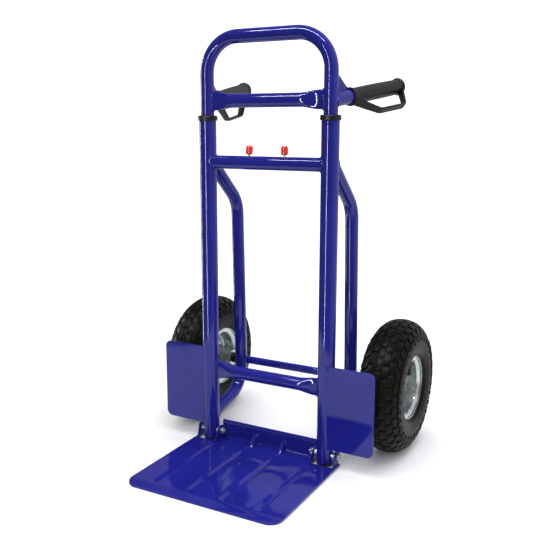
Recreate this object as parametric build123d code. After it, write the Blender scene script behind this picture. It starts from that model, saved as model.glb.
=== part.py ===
from build123d import *
import os
from math import atan2, cos, degrees, radians, sin, tan

# Two-wheeled sack truck with a folding toe plate and a telescoping handle.
# X runs to the right seen from the front, Y to the rear, Z up, and the floor is Z = 0.
# Left and right are meant as seen from the front, where the toe plate is.
# Pieces are drawn with Y = 0 on the axis of the two main tubes. save() then moves
# them all, so that the origin is under the middle of the whole truck.

os.makedirs("parts", exist_ok=True)

# ---- frame ----
tube_spacing = 252.6        # between the axes of the two main tubes
main_od = 32.0              # main tubes
tube_x = tube_spacing / 2
main_r = main_od / 2
main_wall = 1.5
main_foot_z = 8.0
main_top_z = 636.0
bar_od = 25.0               # cross tubes, rear legs and grip stubs
bar_r = bar_od / 2
bar_wall = 1.5
cross_tube_z = main_top_z - 76.3  # upper cross tube, which holds the latches
lower_bar_z = 150.5
flat_height = 34.0          # height of a crossbar's flattened ends
flat_width = 9.4            # their thickness
flat_taper_start = tube_x - 51.3  # where the flattening starts, from the centre
flat_taper_end = tube_x - 25.3    # where it is full
leg_foot_z = 51.0           # height where each leg line meets the tube axis
wheel_od = 260.0
leg_low = (wheel_od / 2 - 10.7, 80.0)     # Y, Z of the corner of the lower bend
leg_high = (wheel_od / 2 - 25.3, main_top_z - 159.3)   # Y, Z of the corner of the upper bend
leg_top_z = main_top_z - 66.8
leg_low_bend = 57.0
leg_high_bend = 60.0
guard_reach = tube_x + 100.2  # outer edge of the wheel guards, from the centre
guard_low_z = 38.0
guard_high_z = 198.0
guard_front_y = 2 - main_r
guard_thickness = 2.0
guard_corner = 12.0

# ---- wheels and axle ----
tyre_width = 82.0
wheel_x = tube_x + 88.9     # middle plane of each wheel, from the centre
axle_z = wheel_od / 2
axle_d = 16.0
axle_r = axle_d / 2
axle_overhang = 10.0        # axle end beyond the hub
rim_seat_r = 50.8           # radius where the tyre bead sits
rim_flange_r = 61.0
rim_width = 54.0            # between the flanges
rim_sheet = 2.0
tread_thickness = 9.0
wall_thickness = 5.0        # tyre side wall
bead_thickness = 8.0
tube_wall = 1.5             # inner tube
hub_od = 32.0
hub_wall = 2.0
hub_inner_x = tube_x + 32.0  # inboard end of the hub, from the centre
hub_outer_x = tube_x + 94.7
bearing_width = 8.0
rim_bolt_circle_r = 33.0
rim_bolt_count = 4
rim_bolt_d = 8.0
valve_d = 10.0
valve_length = 30.0
valve_offset = 17.0         # outward of the wheel's middle plane
valve_lean = 6.0            # degrees behind the top of the rim
spacer_od = 22.0
spacer_start_x = tube_x + bar_r + 2.2
washer_od = 30.0
washer_thickness = 2.0
split_pin_d = 3.0
split_pin_eye_r = 3.0

# ---- telescoping handle ----
handle_od = main_od - 6.6
handle_wall = 1.5
handle_foot_z = 170.0
handle_top_z = main_top_z + 149.0   # axis of the top bar
handle_bend_r = 64.5
handle_bar_z = main_top_z + 35.6
handle_travel = main_top_z - 306.0
lock_step = handle_travel / 3       # between the lock holes in each handle leg
collar_od = main_od + 5.0
collar_height = 9.5
collar_spigot = 20.0
glide_length = 22.0
glide_floor = 4.0

# ---- grips ----
stub_z = main_top_z + 33.3  # height where each stub's axis meets the handle leg
stub_splay = 12.1           # degrees outward
stub_rise = 8.5             # degrees upward
stub_length = 190.0
grip_start = 54.3           # along the stub's axis, from the handle leg
grip_end = 219.5
grip_od = 28.0
grip_flange_od = 33.0
grip_flange_width = 4.0
strap_width = 13.0
strap_thickness = 4.5
strap_points = [(58.0, 15.0), (98.4, 46.0), (179.4, 47.5), (212.0, 12.0)]
strap_turn = {"left": -2.4, "right": 49.2}   # degrees from straight down, outward
stub_gusset_top_z = main_top_z + 82.0
stub_gusset_reach = 50.0
stub_gusset_thickness = 3.0

# ---- latches ----
knob_x = 37.0               # knob stem, from the centre
knob_d = 13.0
knob_height = 16.0
knob_stem_d = 4.5
knob_gap = 3.0              # from the tube's top to the knob
knob_lean = {"left": 8.0, "right": 0.0}
pin_d = 8.0
pin_body_length = 16.0
pin_in_travel = 10.0        # from the tube wall, drawn by hand
pin_out_travel = 6.0        # from the tube wall into a lock hole
spring_od = 13.0
spring_wire_d = 1.2
spring_turns = 7
spring_stop_width = 6.0
spring_seat_d = 8.0
spring_seat_length = 6.0
guide_length = 12.0
guide_inset = main_r - 2    # from the main tube's axis side to the guide's outer end

# ---- toe plate ----
plate_width = tube_spacing + 57.4
plate_front_y = -245.0
lip_bend_y = -224.0
plate_top_z = 5.3
plate_sheet = 2.5
plate_corner = 25.0
fold_y = 10.0               # front face of the upturned rear flange
flange_top_z = 42.0
fold_inner_r = 2.5
groove_x = (34.0, tube_x - 22.3)
groove_width = 16.0
groove_depth = 2.8
groove_front_y = -218.0
groove_back_y = -26.0
groove_wall = 1.5
rib_x = 32.0                # pressed gussets in the fold
rib_width = 6.0
rib_rise = 17.0
ear_inner_x = tube_x - main_r - 6.8  # inner face of each inner ear
ear_outer_x = tube_x + main_r + 6.7  # inner face of each outer ear
ear_r = 11.0
ear_front_y = -15.5
window_front_y = -main_r - 8
window_back_y = 5.0         # rear end of the strip outside each window
hinge_z = 21.8
hinge_bolt_d = 8.0
hinge_spacer_od = 14.0
bolt_head_af = 13.0
bolt_head_height = 5.5
nut_height = 6.5

# ---- clearances ----
running = 0.05              # radial, between a shaft and its hole
seat_gap = 0.3              # between pieces that move past each other

handle_r = handle_od / 2

# The axle rests against the back of both legs.
leg_lean = (leg_high[0] - leg_low[0]) / (leg_high[1] - leg_low[1])
leg_y = leg_low[0] + leg_lean * (axle_z - leg_low[1])
axle_y = round(leg_y + (bar_r + axle_r) * (1 + leg_lean**2) ** 0.5, 1)
origin_shift = -(plate_front_y + axle_y + wheel_od / 2) / 2


def save(name, *pieces):
    """Write one node's solids as a STEP file, moved to the truck's own origin."""
    solids = [s for piece in pieces for s in (Pos(0, origin_shift, 0) * piece).solids()]
    export_step(solids[0] if len(solids) == 1 else Compound(solids), f"parts/{name}.step")


def save_pair(name, *pieces):
    """Write a right-hand node and its mirror image."""
    save(f"right_{name}", *pieces)
    save(f"left_{name}", *[mirror(piece, about=Plane.YZ) for piece in pieces])


def rod(r, x0, x1, y, z):
    """A bar along X."""
    return Pos((x0 + x1) / 2, y, z) * Rot(0, 90, 0) * Cylinder(r, abs(x1 - x0))


def ring(r_out, r_in, x0, x1, y, z):
    """A sleeve along X."""
    return rod(r_out, x0, x1, y, z) - rod(r_in, x0, x1, y, z)


def post(r, z0, z1, x=tube_x, y=0.0):
    """An upright bar."""
    return Pos(x, y, (z0 + z1) / 2) * Cylinder(r, z1 - z0)


def hexagon(across_flats, x0, x1, y, z):
    """A hexagonal head or nut along X."""
    face = RegularPolygon(across_flats / 2, 6, major_radius=False)
    return extrude(Plane((x0, y, z), x_dir=(0, 1, 0), z_dir=(1, 0, 0)) * face, x1 - x0)


def slab(x0, x1, y0, y1, z0, z1):
    """A box by its two corners."""
    return Pos((x0 + x1) / 2, (y0 + y1) / 2, (z0 + z1) / 2) * Box(x1 - x0, y1 - y0, z1 - z0)


def section_at(x, z, width, height):
    """A bar's rounded section on a plane across X."""
    corner = min(width, height) / 2 - 0.01
    plane = Plane((x, 0, z), x_dir=(0, 1, 0), z_dir=(1, 0, 0))
    return plane * RectangleRounded(width, height, corner)


def flared_core(z, inset):
    """A round bar whose two ends are squeezed flat and upright."""
    round_size = bar_od - 2 * inset
    width = flat_width - 2 * inset
    height = flat_height - 2 * inset
    core = extrude(section_at(-flat_taper_start, z, round_size, round_size), 2 * flat_taper_start)
    for side in (-1, 1):
        near = section_at(side * flat_taper_start, z, round_size, round_size)
        far = section_at(side * flat_taper_end, z, width, height)
        core += loft([near, far])
        core += extrude(far, side * (tube_x - flat_taper_end))
    return core


def crossbar(z, post_r):
    """A hollow flared crossbar, coped to the two round tubes it is welded between."""
    bar = flared_core(z, 0) - flared_core(z, bar_wall)
    for side in (-1, 1):
        bar -= post(post_r, z - flat_height, z + flat_height, side * tube_x)
    return bar


# ---- main tubes, collars and cross tubes ----
main_tube = post(main_r, main_foot_z, main_top_z)
main_tube -= post(main_r - main_wall, main_foot_z, main_top_z)
main_tube -= rod(hinge_bolt_d / 2, tube_x - main_od, tube_x + main_od, 0, hinge_z)
main_tube -= rod(pin_d / 2 + running, tube_x - main_od, tube_x, 0, cross_tube_z)
save_pair("main_tube", main_tube)

collar = post(collar_od / 2, main_top_z, main_top_z + collar_height)
collar = fillet(collar.edges().filter_by(GeomType.CIRCLE), 1.0)
collar += post(main_r - main_wall, main_top_z - collar_spigot, main_top_z)
collar -= post(handle_r + running, main_top_z - collar_spigot, main_top_z + collar_height)
save_pair("tube_collar", collar)

cross_tube = ring(bar_r, bar_r - bar_wall, -tube_x, tube_x, 0, cross_tube_z)
slot_in = knob_x - pin_in_travel - knob_stem_d / 2 - 1
slot_out = knob_x + pin_out_travel + knob_stem_d / 2 + 1
for side in (-1, 1):
    cross_tube -= post(main_r, cross_tube_z - bar_od, cross_tube_z + bar_od, side * tube_x)
    slot = SlotOverall(slot_out - slot_in, knob_stem_d + 1)
    slot_middle = side * (slot_out + slot_in) / 2
    cross_tube -= extrude(Plane((slot_middle, 0, cross_tube_z)) * slot, bar_od)
save("upper_cross_tube", cross_tube)

save("lower_crossbar", crossbar(lower_bar_z, main_r))

# ---- rear legs: one bent tube each side, coped to the back of the main tube ----
leg_route = [(tube_x, 0, leg_foot_z), (tube_x, *leg_low), (tube_x, *leg_high), (tube_x, 0, leg_top_z)]
leg_path = FilletPolyline(*leg_route, radius=[leg_low_bend, leg_high_bend])
leg_start = Plane(origin=leg_path @ 0, z_dir=leg_path % 0)
rear_leg = sweep(leg_start * Circle(bar_r), path=leg_path)
rear_leg -= sweep(leg_start * Circle(bar_r - bar_wall), path=leg_path)
rear_leg -= post(main_r, 0, main_top_z)
rear_leg -= rod(bar_r, 0, tube_x, 0, cross_tube_z)
save_pair("rear_leg", rear_leg)

# ---- wheel guards: flat plates welded to the front quarter of the main tubes ----
guard = slab(tube_x, guard_reach, guard_front_y, guard_front_y + guard_thickness, guard_low_z, guard_high_z)
guard = fillet(guard.edges().filter_by(Axis.Y).group_by(Axis.X)[-1], guard_corner)
guard -= post(main_r, 0, main_top_z)
guard = guard.solids().sort_by(Axis.X)[-1]
save_pair("wheel_guard", guard)

# ---- axle and what is threaded on it outside the legs ----
hub_end = hub_outer_x + seat_gap
axle_end = hub_outer_x + axle_overhang
split_pin_x = hub_end + washer_thickness + split_pin_eye_r + seat_gap
axle = rod(axle_r, -axle_end, axle_end, axle_y, axle_z)
axle = chamfer(axle.edges().filter_by(GeomType.CIRCLE), 1.0)
split_pin = post(split_pin_d / 2, axle_z - axle_d, axle_z + axle_r + 2, split_pin_x, axle_y)
for side in (-1, 1):
    axle -= post(split_pin_d / 2, axle_z - axle_d, axle_z + axle_d, side * split_pin_x, axle_y)
save("axle", axle)

save_pair("axle_spacer", ring(spacer_od / 2, axle_r, spacer_start_x, hub_inner_x - seat_gap, axle_y, axle_z))
washer = ring(washer_od / 2, axle_r, hub_end, hub_end + washer_thickness, axle_y, axle_z)
save("axle_washers", washer, mirror(washer, about=Plane.YZ))
split_pin += Pos(split_pin_x, axle_y, axle_z + axle_r + 4) * Sphere(split_pin_eye_r)
save("axle_split_pins", split_pin, mirror(split_pin, about=Plane.YZ))

# ---- wheels: drawn about their own centre, X outward ----
tread_r = wheel_od / 2
half_width = tyre_width / 2
half_rim = rim_width / 2
widest_r = (tread_r + rim_seat_r) / 2
shoulder_r = tread_r - 8
hub_r = hub_od / 2


def revolved(half):
    """Turn a half section, with its mirror image, about the wheel's axis."""
    return revolve(half + mirror(half, about=Plane.YZ), Axis.X)


def outline(*edges):
    """The face inside a chain of edges."""
    return make_face(Curve() + list(edges))


def cavity_half(gap):
    """Half of the space inside the tyre, drawn in by a gap."""
    side = half_rim - bead_thickness - gap
    low = rim_seat_r + gap
    neck = (side, rim_seat_r + bead_thickness)
    wide = (half_width - wall_thickness - gap, widest_r)
    top = (0, tread_r - tread_thickness - gap)
    via_side = (half_rim + 6 - gap, rim_seat_r + 0.45 * (widest_r - rim_seat_r))
    via_top = (0.75 * wide[0], widest_r + 0.72 * (top[1] - widest_r))
    return outline(
        Line((0, low), (side, low)),
        Line((side, low), neck),
        ThreePointArc(neck, via_side, wide),
        ThreePointArc(wide, via_top, top),
        Line(top, (0, low)),
    )


flange_foot = (half_rim, rim_seat_r)
flange_edge = (half_rim, rim_flange_r)
widest = (half_width, widest_r)
shoulder = (0.78 * half_width, shoulder_r)
crown = (0, tread_r)
bulge = (half_rim + 0.74 * (half_width - half_rim), rim_flange_r + 0.38 * (widest_r - rim_flange_r))
tyre_half = outline(
    Line((0, rim_seat_r), flange_foot),
    Line(flange_foot, flange_edge),
    ThreePointArc(flange_edge, bulge, widest),
    ThreePointArc(widest, (0.95 * half_width, widest_r + 0.6 * (shoulder_r - widest_r)), shoulder),
    ThreePointArc(shoulder, (0.42 * half_width, tread_r - 1.7), crown),
    Line(crown, (0, rim_seat_r)),
)
tyre = revolved(tyre_half - cavity_half(0))
inner_tube = revolved(cavity_half(seat_gap) - cavity_half(seat_gap + tube_wall))

disc = ring(rim_seat_r, hub_r, 0, rim_sheet, 0, 0)
barrel = ring(rim_seat_r, rim_seat_r - rim_sheet, 0, half_rim + rim_sheet, 0, 0)
flange = ring(rim_flange_r, rim_seat_r - rim_sheet, half_rim, half_rim + rim_sheet, 0, 0)
rim_half = disc + barrel + flange
rim_bolts = []
for index in range(rim_bolt_count):
    turn = radians(45 + 360 * index / rim_bolt_count)
    y = rim_bolt_circle_r * cos(turn)
    z = rim_bolt_circle_r * sin(turn)
    rim_half -= rod(rim_bolt_d / 2, 0, rim_sheet, y, z)
    shank = rod(rim_bolt_d / 2, -rim_sheet - nut_height - 2, rim_sheet, y, z)
    rim_bolts.append(shank + hexagon(bolt_head_af, rim_sheet, rim_sheet + bolt_head_height, y, z))
    nut = hexagon(bolt_head_af, -rim_sheet - nut_height, -rim_sheet, y, z)
    rim_bolts.append(nut - shank)

valve_angle = Rot(-valve_lean, 0, 0)
valve = post(valve_d / 2, rim_seat_r - valve_length, rim_seat_r, valve_offset)
valve_hole = valve_angle * valve
valve = valve_angle * (valve & ring(rim_seat_r, 1, 0, half_rim, 0, 0))
outer_rim = rim_half - valve_hole
inner_rim = mirror(rim_half, about=Plane.YZ)

hub_start = hub_inner_x - wheel_x
hub_finish = hub_outer_x - wheel_x
bearing_r = hub_r - hub_wall
hub = ring(hub_r, bearing_r, hub_start, hub_finish, 0, 0)
bearings = [
    ring(bearing_r, axle_r + running, hub_start, hub_start + bearing_width, 0, 0),
    ring(bearing_r, axle_r + running, hub_finish - bearing_width, hub_finish, 0, 0),
]
wheel_place = Pos(wheel_x, axle_y, axle_z)
wheel_pieces = {
    "tyre": [tyre],
    "inner_tube": [inner_tube],
    "outer_rim": [outer_rim],
    "inner_rim": [inner_rim],
    "hub": [hub],
    "hub_bearings": bearings,
    "rim_bolts": rim_bolts,
    "valve": [valve],
}
for piece_name, pieces in wheel_pieces.items():
    save_pair(piece_name, *[wheel_place * piece for piece in pieces])

# ---- handle: one U-bent tube with lock holes, a crossbar and two glides ----
handle_route = [
    (-tube_x, 0, handle_foot_z),
    (-tube_x, 0, handle_top_z),
    (tube_x, 0, handle_top_z),
    (tube_x, 0, handle_foot_z),
]
handle_path = FilletPolyline(*handle_route, radius=handle_bend_r)
handle_start = Plane(origin=handle_path @ 0, z_dir=handle_path % 0)
handle_tube = sweep(handle_start * Circle(handle_r), path=handle_path)
handle_tube -= sweep(handle_start * Circle(handle_r - handle_wall), path=handle_path)
lock_count = round(handle_travel / lock_step) + 1
for index in range(lock_count):
    hole_z = cross_tube_z - index * handle_travel / (lock_count - 1)
    handle_tube -= rod(pin_d / 2 + seat_gap, -tube_x, tube_x, 0, hole_z)
save("handle_tube", handle_tube)

save("handle_crossbar", crossbar(handle_bar_z, handle_r))

glide = post(main_r - main_wall - running, handle_foot_z - glide_floor, handle_foot_z + glide_length)
glide -= post(handle_r, handle_foot_z, handle_foot_z + glide_length)
save_pair("glide_bush", glide)


# ---- stubs, gussets and grips, each drawn along its own slanted axis ----
def grip_frame(side):
    """The stub's axis, and the two directions across it: the strap's and its width."""
    splay = radians(stub_splay)
    rise = radians(stub_rise)
    along = Vector(side * sin(splay) * cos(rise), cos(splay) * cos(rise), sin(rise))
    outward = (along.cross(Vector(0, 0, 1)) * side).normalized()
    down = along.cross(outward) * side
    turn = radians(strap_turn["right" if side > 0 else "left"])
    across = down * cos(turn) + outward * sin(turn)
    return along, across


def bar_between(a, b):
    """One straight run of the strap, with round ends."""
    start = Vector(*a)
    run = Vector(*b) - start
    middle = start + run * 0.5
    turn = Rot(0, 0, degrees(atan2(run.Y, run.X)))
    return Pos(middle.X, middle.Y) * turn * SlotCenterToCenter(run.length, strap_thickness)


def sleeve(frame_plane, r, start, end):
    """A round length along the stub's axis."""
    return extrude(frame_plane.offset(start) * Circle(r), end - start)


for side_name, side in (("left", -1), ("right", 1)):
    along, across = grip_frame(side)
    root = Vector(side * tube_x, 0, stub_z)
    axis_plane = Plane(origin=root, x_dir=across, z_dir=along)
    leg = post(handle_r, handle_foot_z, handle_top_z - handle_bend_r, side * tube_x)
    stub = sleeve(axis_plane, bar_r, 0, stub_length) - sleeve(axis_plane, bar_r - bar_wall, 0, stub_length)
    save(f"{side_name}_grip_stub", stub - leg)

    flat = Vector(along.X, along.Y, 0).normalized()
    gusset_plane = Plane(origin=root, x_dir=flat, z_dir=flat.cross(Vector(0, 0, 1)))
    reach_z = stub_gusset_reach * tan(radians(stub_rise))
    low = (0, 0)
    tip = (stub_gusset_reach, reach_z + bar_r - 1)
    tip_top = (stub_gusset_reach, reach_z + bar_r + 3)
    high = (0, stub_gusset_top_z - stub_z)
    high_edge = (handle_r + 3, stub_gusset_top_z - stub_z)
    sheet = gusset_plane * make_face(Polyline(low, tip, tip_top, high_edge, high, close=True))
    gusset = extrude(sheet, stub_gusset_thickness / 2, both=True)
    gusset -= leg
    gusset -= sleeve(axis_plane, bar_r, -bar_od, stub_length)
    save(f"{side_name}_stub_gusset", gusset.solids().sort_by(SortBy.VOLUME)[-1])

    grip = sleeve(axis_plane, grip_od / 2, grip_start, grip_end)
    for flange_start in (grip_start, grip_end - grip_flange_width):
        grip += sleeve(axis_plane, grip_flange_od / 2, flange_start, flange_start + grip_flange_width)
    strap_plane = Plane(origin=root, x_dir=along, z_dir=along.cross(across))
    for a, b in zip(strap_points, strap_points[1:]):
        grip += extrude(strap_plane * bar_between(a, b), strap_width / 2, both=True)
    grip -= sleeve(axis_plane, bar_r, grip_start - bar_od, stub_length)
    save(f"{side_name}_hand_grip", grip)

# ---- latches: two sprung pins in the upper cross tube, drawn inward by their knobs ----
bore_r = bar_r - bar_wall
pin_tip_x = tube_x - handle_r - seat_gap
body_in = knob_x - pin_body_length / 2
body_out = knob_x + pin_body_length / 2
stem_seat_z = cross_tube_z + 2
knob_foot_z = cross_tube_z + bar_r + knob_gap

lock_pin = rod(bore_r - running, body_in, body_out, 0, cross_tube_z)
lock_pin += rod(pin_d / 2, body_out, pin_tip_x, 0, cross_tube_z)
lock_pin += rod(spring_seat_d / 2, body_in - spring_seat_length, body_in, 0, cross_tube_z)
lock_pin -= post(knob_stem_d / 2, stem_seat_z, cross_tube_z + bar_r, knob_x)
save_pair("lock_pin", lock_pin)

for side_name, side in (("left", -1), ("right", 1)):
    head = Pos(0, 0, knob_height / 2) * Cylinder(knob_d / 2, knob_height)
    head = fillet(head.edges().filter_by(GeomType.CIRCLE), 2.0)
    head = Pos(side * knob_x, 0, knob_foot_z) * Rot(0, knob_lean[side_name], 0) * head
    stem = post(knob_stem_d / 2, stem_seat_z, knob_foot_z + knob_height / 2, side * knob_x)
    save(f"{side_name}_release_knob", head + stem)

stop_face = spring_stop_width / 2
save("spring_stop", rod(bore_r, -stop_face, stop_face, 0, cross_tube_z))
guide_out = tube_x - guide_inset - bar_wall
guide = ring(bore_r, pin_d / 2 + running, guide_out - guide_length, guide_out, 0, cross_tube_z)
guide -= post(main_r, cross_tube_z - bar_od, cross_tube_z + bar_od)
save_pair("pin_guide", guide)

spring_start = stop_face + spring_wire_d / 2
spring_run = body_in - spring_wire_d / 2 - spring_start
coil_r = (spring_od - spring_wire_d) / 2
coil = Helix(pitch=spring_run / spring_turns, height=spring_run, radius=coil_r)
wire_start = Plane(origin=coil @ 0, z_dir=coil % 0)
spring = sweep(wire_start * Circle(spring_wire_d / 2), path=coil, is_frenet=True)
save_pair("latch_spring", Pos(spring_start, 0, cross_tube_z) * Rot(0, 90, 0) * spring)

# ---- toe plate: one pressed and folded sheet that turns on two hinge bolts ----
half_plate = plate_width / 2
plate_low_z = plate_top_z - plate_sheet
fold_back_y = fold_y + plate_sheet
side_view = Plane((-half_plate, 0, 0), x_dir=(0, 1, 0), z_dir=(1, 0, 0))
profile = [
    (plate_front_y, 0),
    (plate_front_y, plate_sheet),
    (lip_bend_y, plate_top_z),
    (fold_y, plate_top_z),
    (fold_y, flange_top_z),
    (fold_back_y, flange_top_z),
    (fold_back_y, plate_low_z),
    (lip_bend_y, plate_low_z),
]
toe_plate = extrude(side_view * make_face(Polyline(*profile, close=True)), plate_width)
blank = Pos(0, (plate_front_y + fold_back_y) / 2) * Rectangle(plate_width, fold_back_y - plate_front_y)
blank = fillet(blank.vertices().group_by(Axis.Y)[0], plate_corner)
toe_plate &= extrude(blank, flange_top_z)
fold_edges = toe_plate.edges().filter_by(Axis.X)
fold_inside = fold_edges.filter_by_position(Axis.Y, fold_y - 0.1, fold_y + 0.1).sort_by(Axis.Z)[0]
toe_plate = fillet(fold_inside, fold_inner_r)
fold_edges = toe_plate.edges().filter_by(Axis.X)
fold_outside = fold_edges.filter_by_position(Axis.Y, fold_back_y - 0.1, fold_back_y + 0.1).sort_by(Axis.Z)[0]
toe_plate = fillet(fold_outside, fold_inner_r + plate_sheet)

window_in = ear_inner_x + plate_sheet
for side in (-1, 1):
    xs = sorted((side * window_in, side * ear_outer_x))
    toe_plate -= slab(*xs, window_front_y, fold_back_y + 1, -1, flange_top_z + 1)
    xs = sorted((side * ear_outer_x, side * (half_plate + 1)))
    toe_plate -= slab(*xs, window_back_y, fold_back_y + 1, -1, flange_top_z + 1)

for x in groove_x:
    for side in (-1, 1):
        back_y = fold_y - fold_inner_r - groove_width if x < rib_x + groove_width else groove_back_y
        length = back_y - groove_front_y
        middle = Plane((side * x, (back_y + groove_front_y) / 2, 0)) * Rot(0, 0, 90)
        pan = SlotOverall(length + 2 * groove_wall, groove_width + 2 * groove_wall)
        recess = SlotOverall(length, groove_width)
        floor_z = plate_top_z - groove_depth
        toe_plate += extrude(middle * pan, plate_low_z)
        toe_plate -= extrude(middle * Pos(0, 0, floor_z) * recess, plate_sheet + 1)

for side in (-1, 1):
    rib_plane = Plane((side * rib_x - rib_width / 2, 0, 0), x_dir=(0, 1, 0), z_dir=(1, 0, 0))
    wedge = [(fold_y + 1, plate_top_z - 1), (fold_y - rib_rise, plate_top_z - 1)]
    wedge += [(fold_y - rib_rise, plate_top_z), (fold_y, plate_top_z + rib_rise)]
    wedge += [(fold_y + 1, plate_top_z + rib_rise)]
    toe_plate += extrude(rib_plane * make_face(Polyline(*wedge, close=True)), rib_width)

inner_ear = [(window_front_y - 1, plate_low_z), (window_front_y - 1, plate_top_z), (-ear_r, hinge_z + 3), (fold_y, hinge_z + 3)]
inner_ear += [(fold_y, plate_low_z + fold_inner_r)]
outer_ear = [(ear_front_y, plate_low_z), (ear_front_y, plate_top_z + 3), (-ear_r + 0.5, hinge_z)]
outer_ear += [(window_back_y, hinge_z), (window_back_y, plate_low_z)]
for side in (-1, 1):
    for ear_x, shape in ((ear_inner_x, inner_ear), (ear_outer_x, outer_ear)):
        start_x = ear_x if side > 0 else -ear_x - plate_sheet
        ear_plane = Plane((start_x, 0, 0), x_dir=(0, 1, 0), z_dir=(1, 0, 0))
        sheet = make_face(Polyline(*shape, close=True)) + Pos(0, hinge_z) * Circle(ear_r)
        sheet -= Pos(0, hinge_z) * Circle(hinge_bolt_d / 2 + running)
        toe_plate += extrude(ear_plane * sheet, plate_sheet)
save("toe_plate", toe_plate)

# ---- hinge bolts: one each side, through both ears and the main tube ----
nut_x = ear_inner_x - seat_gap
head_x = ear_outer_x + plate_sheet + seat_gap
bolt = rod(hinge_bolt_d / 2, nut_x - nut_height - 2, head_x, 0, hinge_z)
head = hexagon(bolt_head_af, head_x, head_x + bolt_head_height, 0, hinge_z)
save_pair("hinge_bolt", bolt + head)
nut = hexagon(bolt_head_af, nut_x - nut_height, nut_x, 0, hinge_z)
save_pair("hinge_nut", nut - bolt)
spacers = []
for x0, x1 in ((window_in + seat_gap, tube_x), (tube_x, ear_outer_x - seat_gap)):
    spacer = ring(hinge_spacer_od / 2, hinge_bolt_d / 2, x0, x1, 0, hinge_z)
    spacers.append(spacer - post(main_r, main_foot_z, hinge_z + main_od))
save_pair("hinge_spacers", *spacers)
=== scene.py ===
import math

import bmesh
import bpy
import numpy as np
from mathutils import Matrix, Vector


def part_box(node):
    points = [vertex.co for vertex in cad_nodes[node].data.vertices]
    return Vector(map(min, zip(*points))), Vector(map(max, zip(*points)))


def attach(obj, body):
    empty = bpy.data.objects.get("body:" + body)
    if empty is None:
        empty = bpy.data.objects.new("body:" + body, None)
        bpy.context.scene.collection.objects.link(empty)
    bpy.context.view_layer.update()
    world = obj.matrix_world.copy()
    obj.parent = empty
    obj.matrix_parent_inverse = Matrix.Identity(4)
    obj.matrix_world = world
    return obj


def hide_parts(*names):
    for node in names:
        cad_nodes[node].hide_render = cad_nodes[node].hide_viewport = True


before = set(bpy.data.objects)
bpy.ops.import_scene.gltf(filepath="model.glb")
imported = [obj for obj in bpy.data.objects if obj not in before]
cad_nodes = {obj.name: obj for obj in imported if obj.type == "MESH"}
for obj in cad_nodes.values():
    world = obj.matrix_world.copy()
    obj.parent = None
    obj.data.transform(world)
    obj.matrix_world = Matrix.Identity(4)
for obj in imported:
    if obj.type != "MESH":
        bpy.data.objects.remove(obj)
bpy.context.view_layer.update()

# ---- main tubes ----
# Two straight lengths of 32 mm welded steel tube with a 1.5 mm wall, sawn square at both
# ends and stove enamelled gloss blue together with all that is welded to them. Sizes here
# and below are in millimetres, with Y = 0 on the tubes' axes; make_piece places them.
low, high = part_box("right_main_tube")
tube_x = (low.x + high.x) * 500
tubes_y = (low.y + high.y) * 500
main_r = (high.x - low.x) * 500
main_foot_z = low.z * 1000
main_top_z = high.z * 1000
wall = 1.5


def srgb(code):
    """A hex colour to linear light: each channel c becomes ((c + 0.055) / 1.055) to the power 2.4."""
    value = np.array([int(code[i:i + 2], 16) for i in (0, 2, 4)]) / 255
    linear = np.where(value <= 0.04045, value / 12.92, ((value + 0.055) / 1.055) ** 2.4)
    return (*linear.tolist(), 1.0)


def add_node(tree, kind, inputs=None, **settings):
    """Add one node: an input given as another node's socket is linked, any other is set."""
    node = tree.nodes.new(kind)
    for key, value in settings.items():
        setattr(node, key, value)
    for key, value in (inputs or {}).items():
        if isinstance(value, bpy.types.NodeSocket):
            tree.links.new(value, node.inputs[key])
        else:
            node.inputs[key].default_value = value
    return node


def start_material(name, **sockets):
    """A node material whose main shader has these constants on its own sockets."""
    material = bpy.data.materials.new(name)
    material.use_nodes = True
    tree = material.node_tree
    shader = tree.nodes["Principled BSDF"]
    for key, value in sockets.items():
        shader.inputs[key.replace("_", " ")].default_value = value
    where = add_node(tree, "ShaderNodeTexCoord").outputs["Object"]
    return material, tree, shader, where


def skin(points, wrap_i=False, wrap_j=False, keep=None):
    """Faces between neighbours on a grid of points; wrap joins the last row or column to the first."""
    rows, columns = points.shape[:2]
    index = np.arange(rows * columns).reshape(rows, columns)
    index = np.vstack([index, index[:1]]) if wrap_i else index
    index = np.hstack([index, index[:, :1]]) if wrap_j else index
    corners = [index[:-1, :-1], index[1:, :-1], index[1:, 1:], index[:-1, 1:]]
    faces = np.stack(corners, -1)
    faces = faces[keep] if keep is not None else faces.reshape(-1, 4)
    return points.reshape(-1, 3), faces


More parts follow.
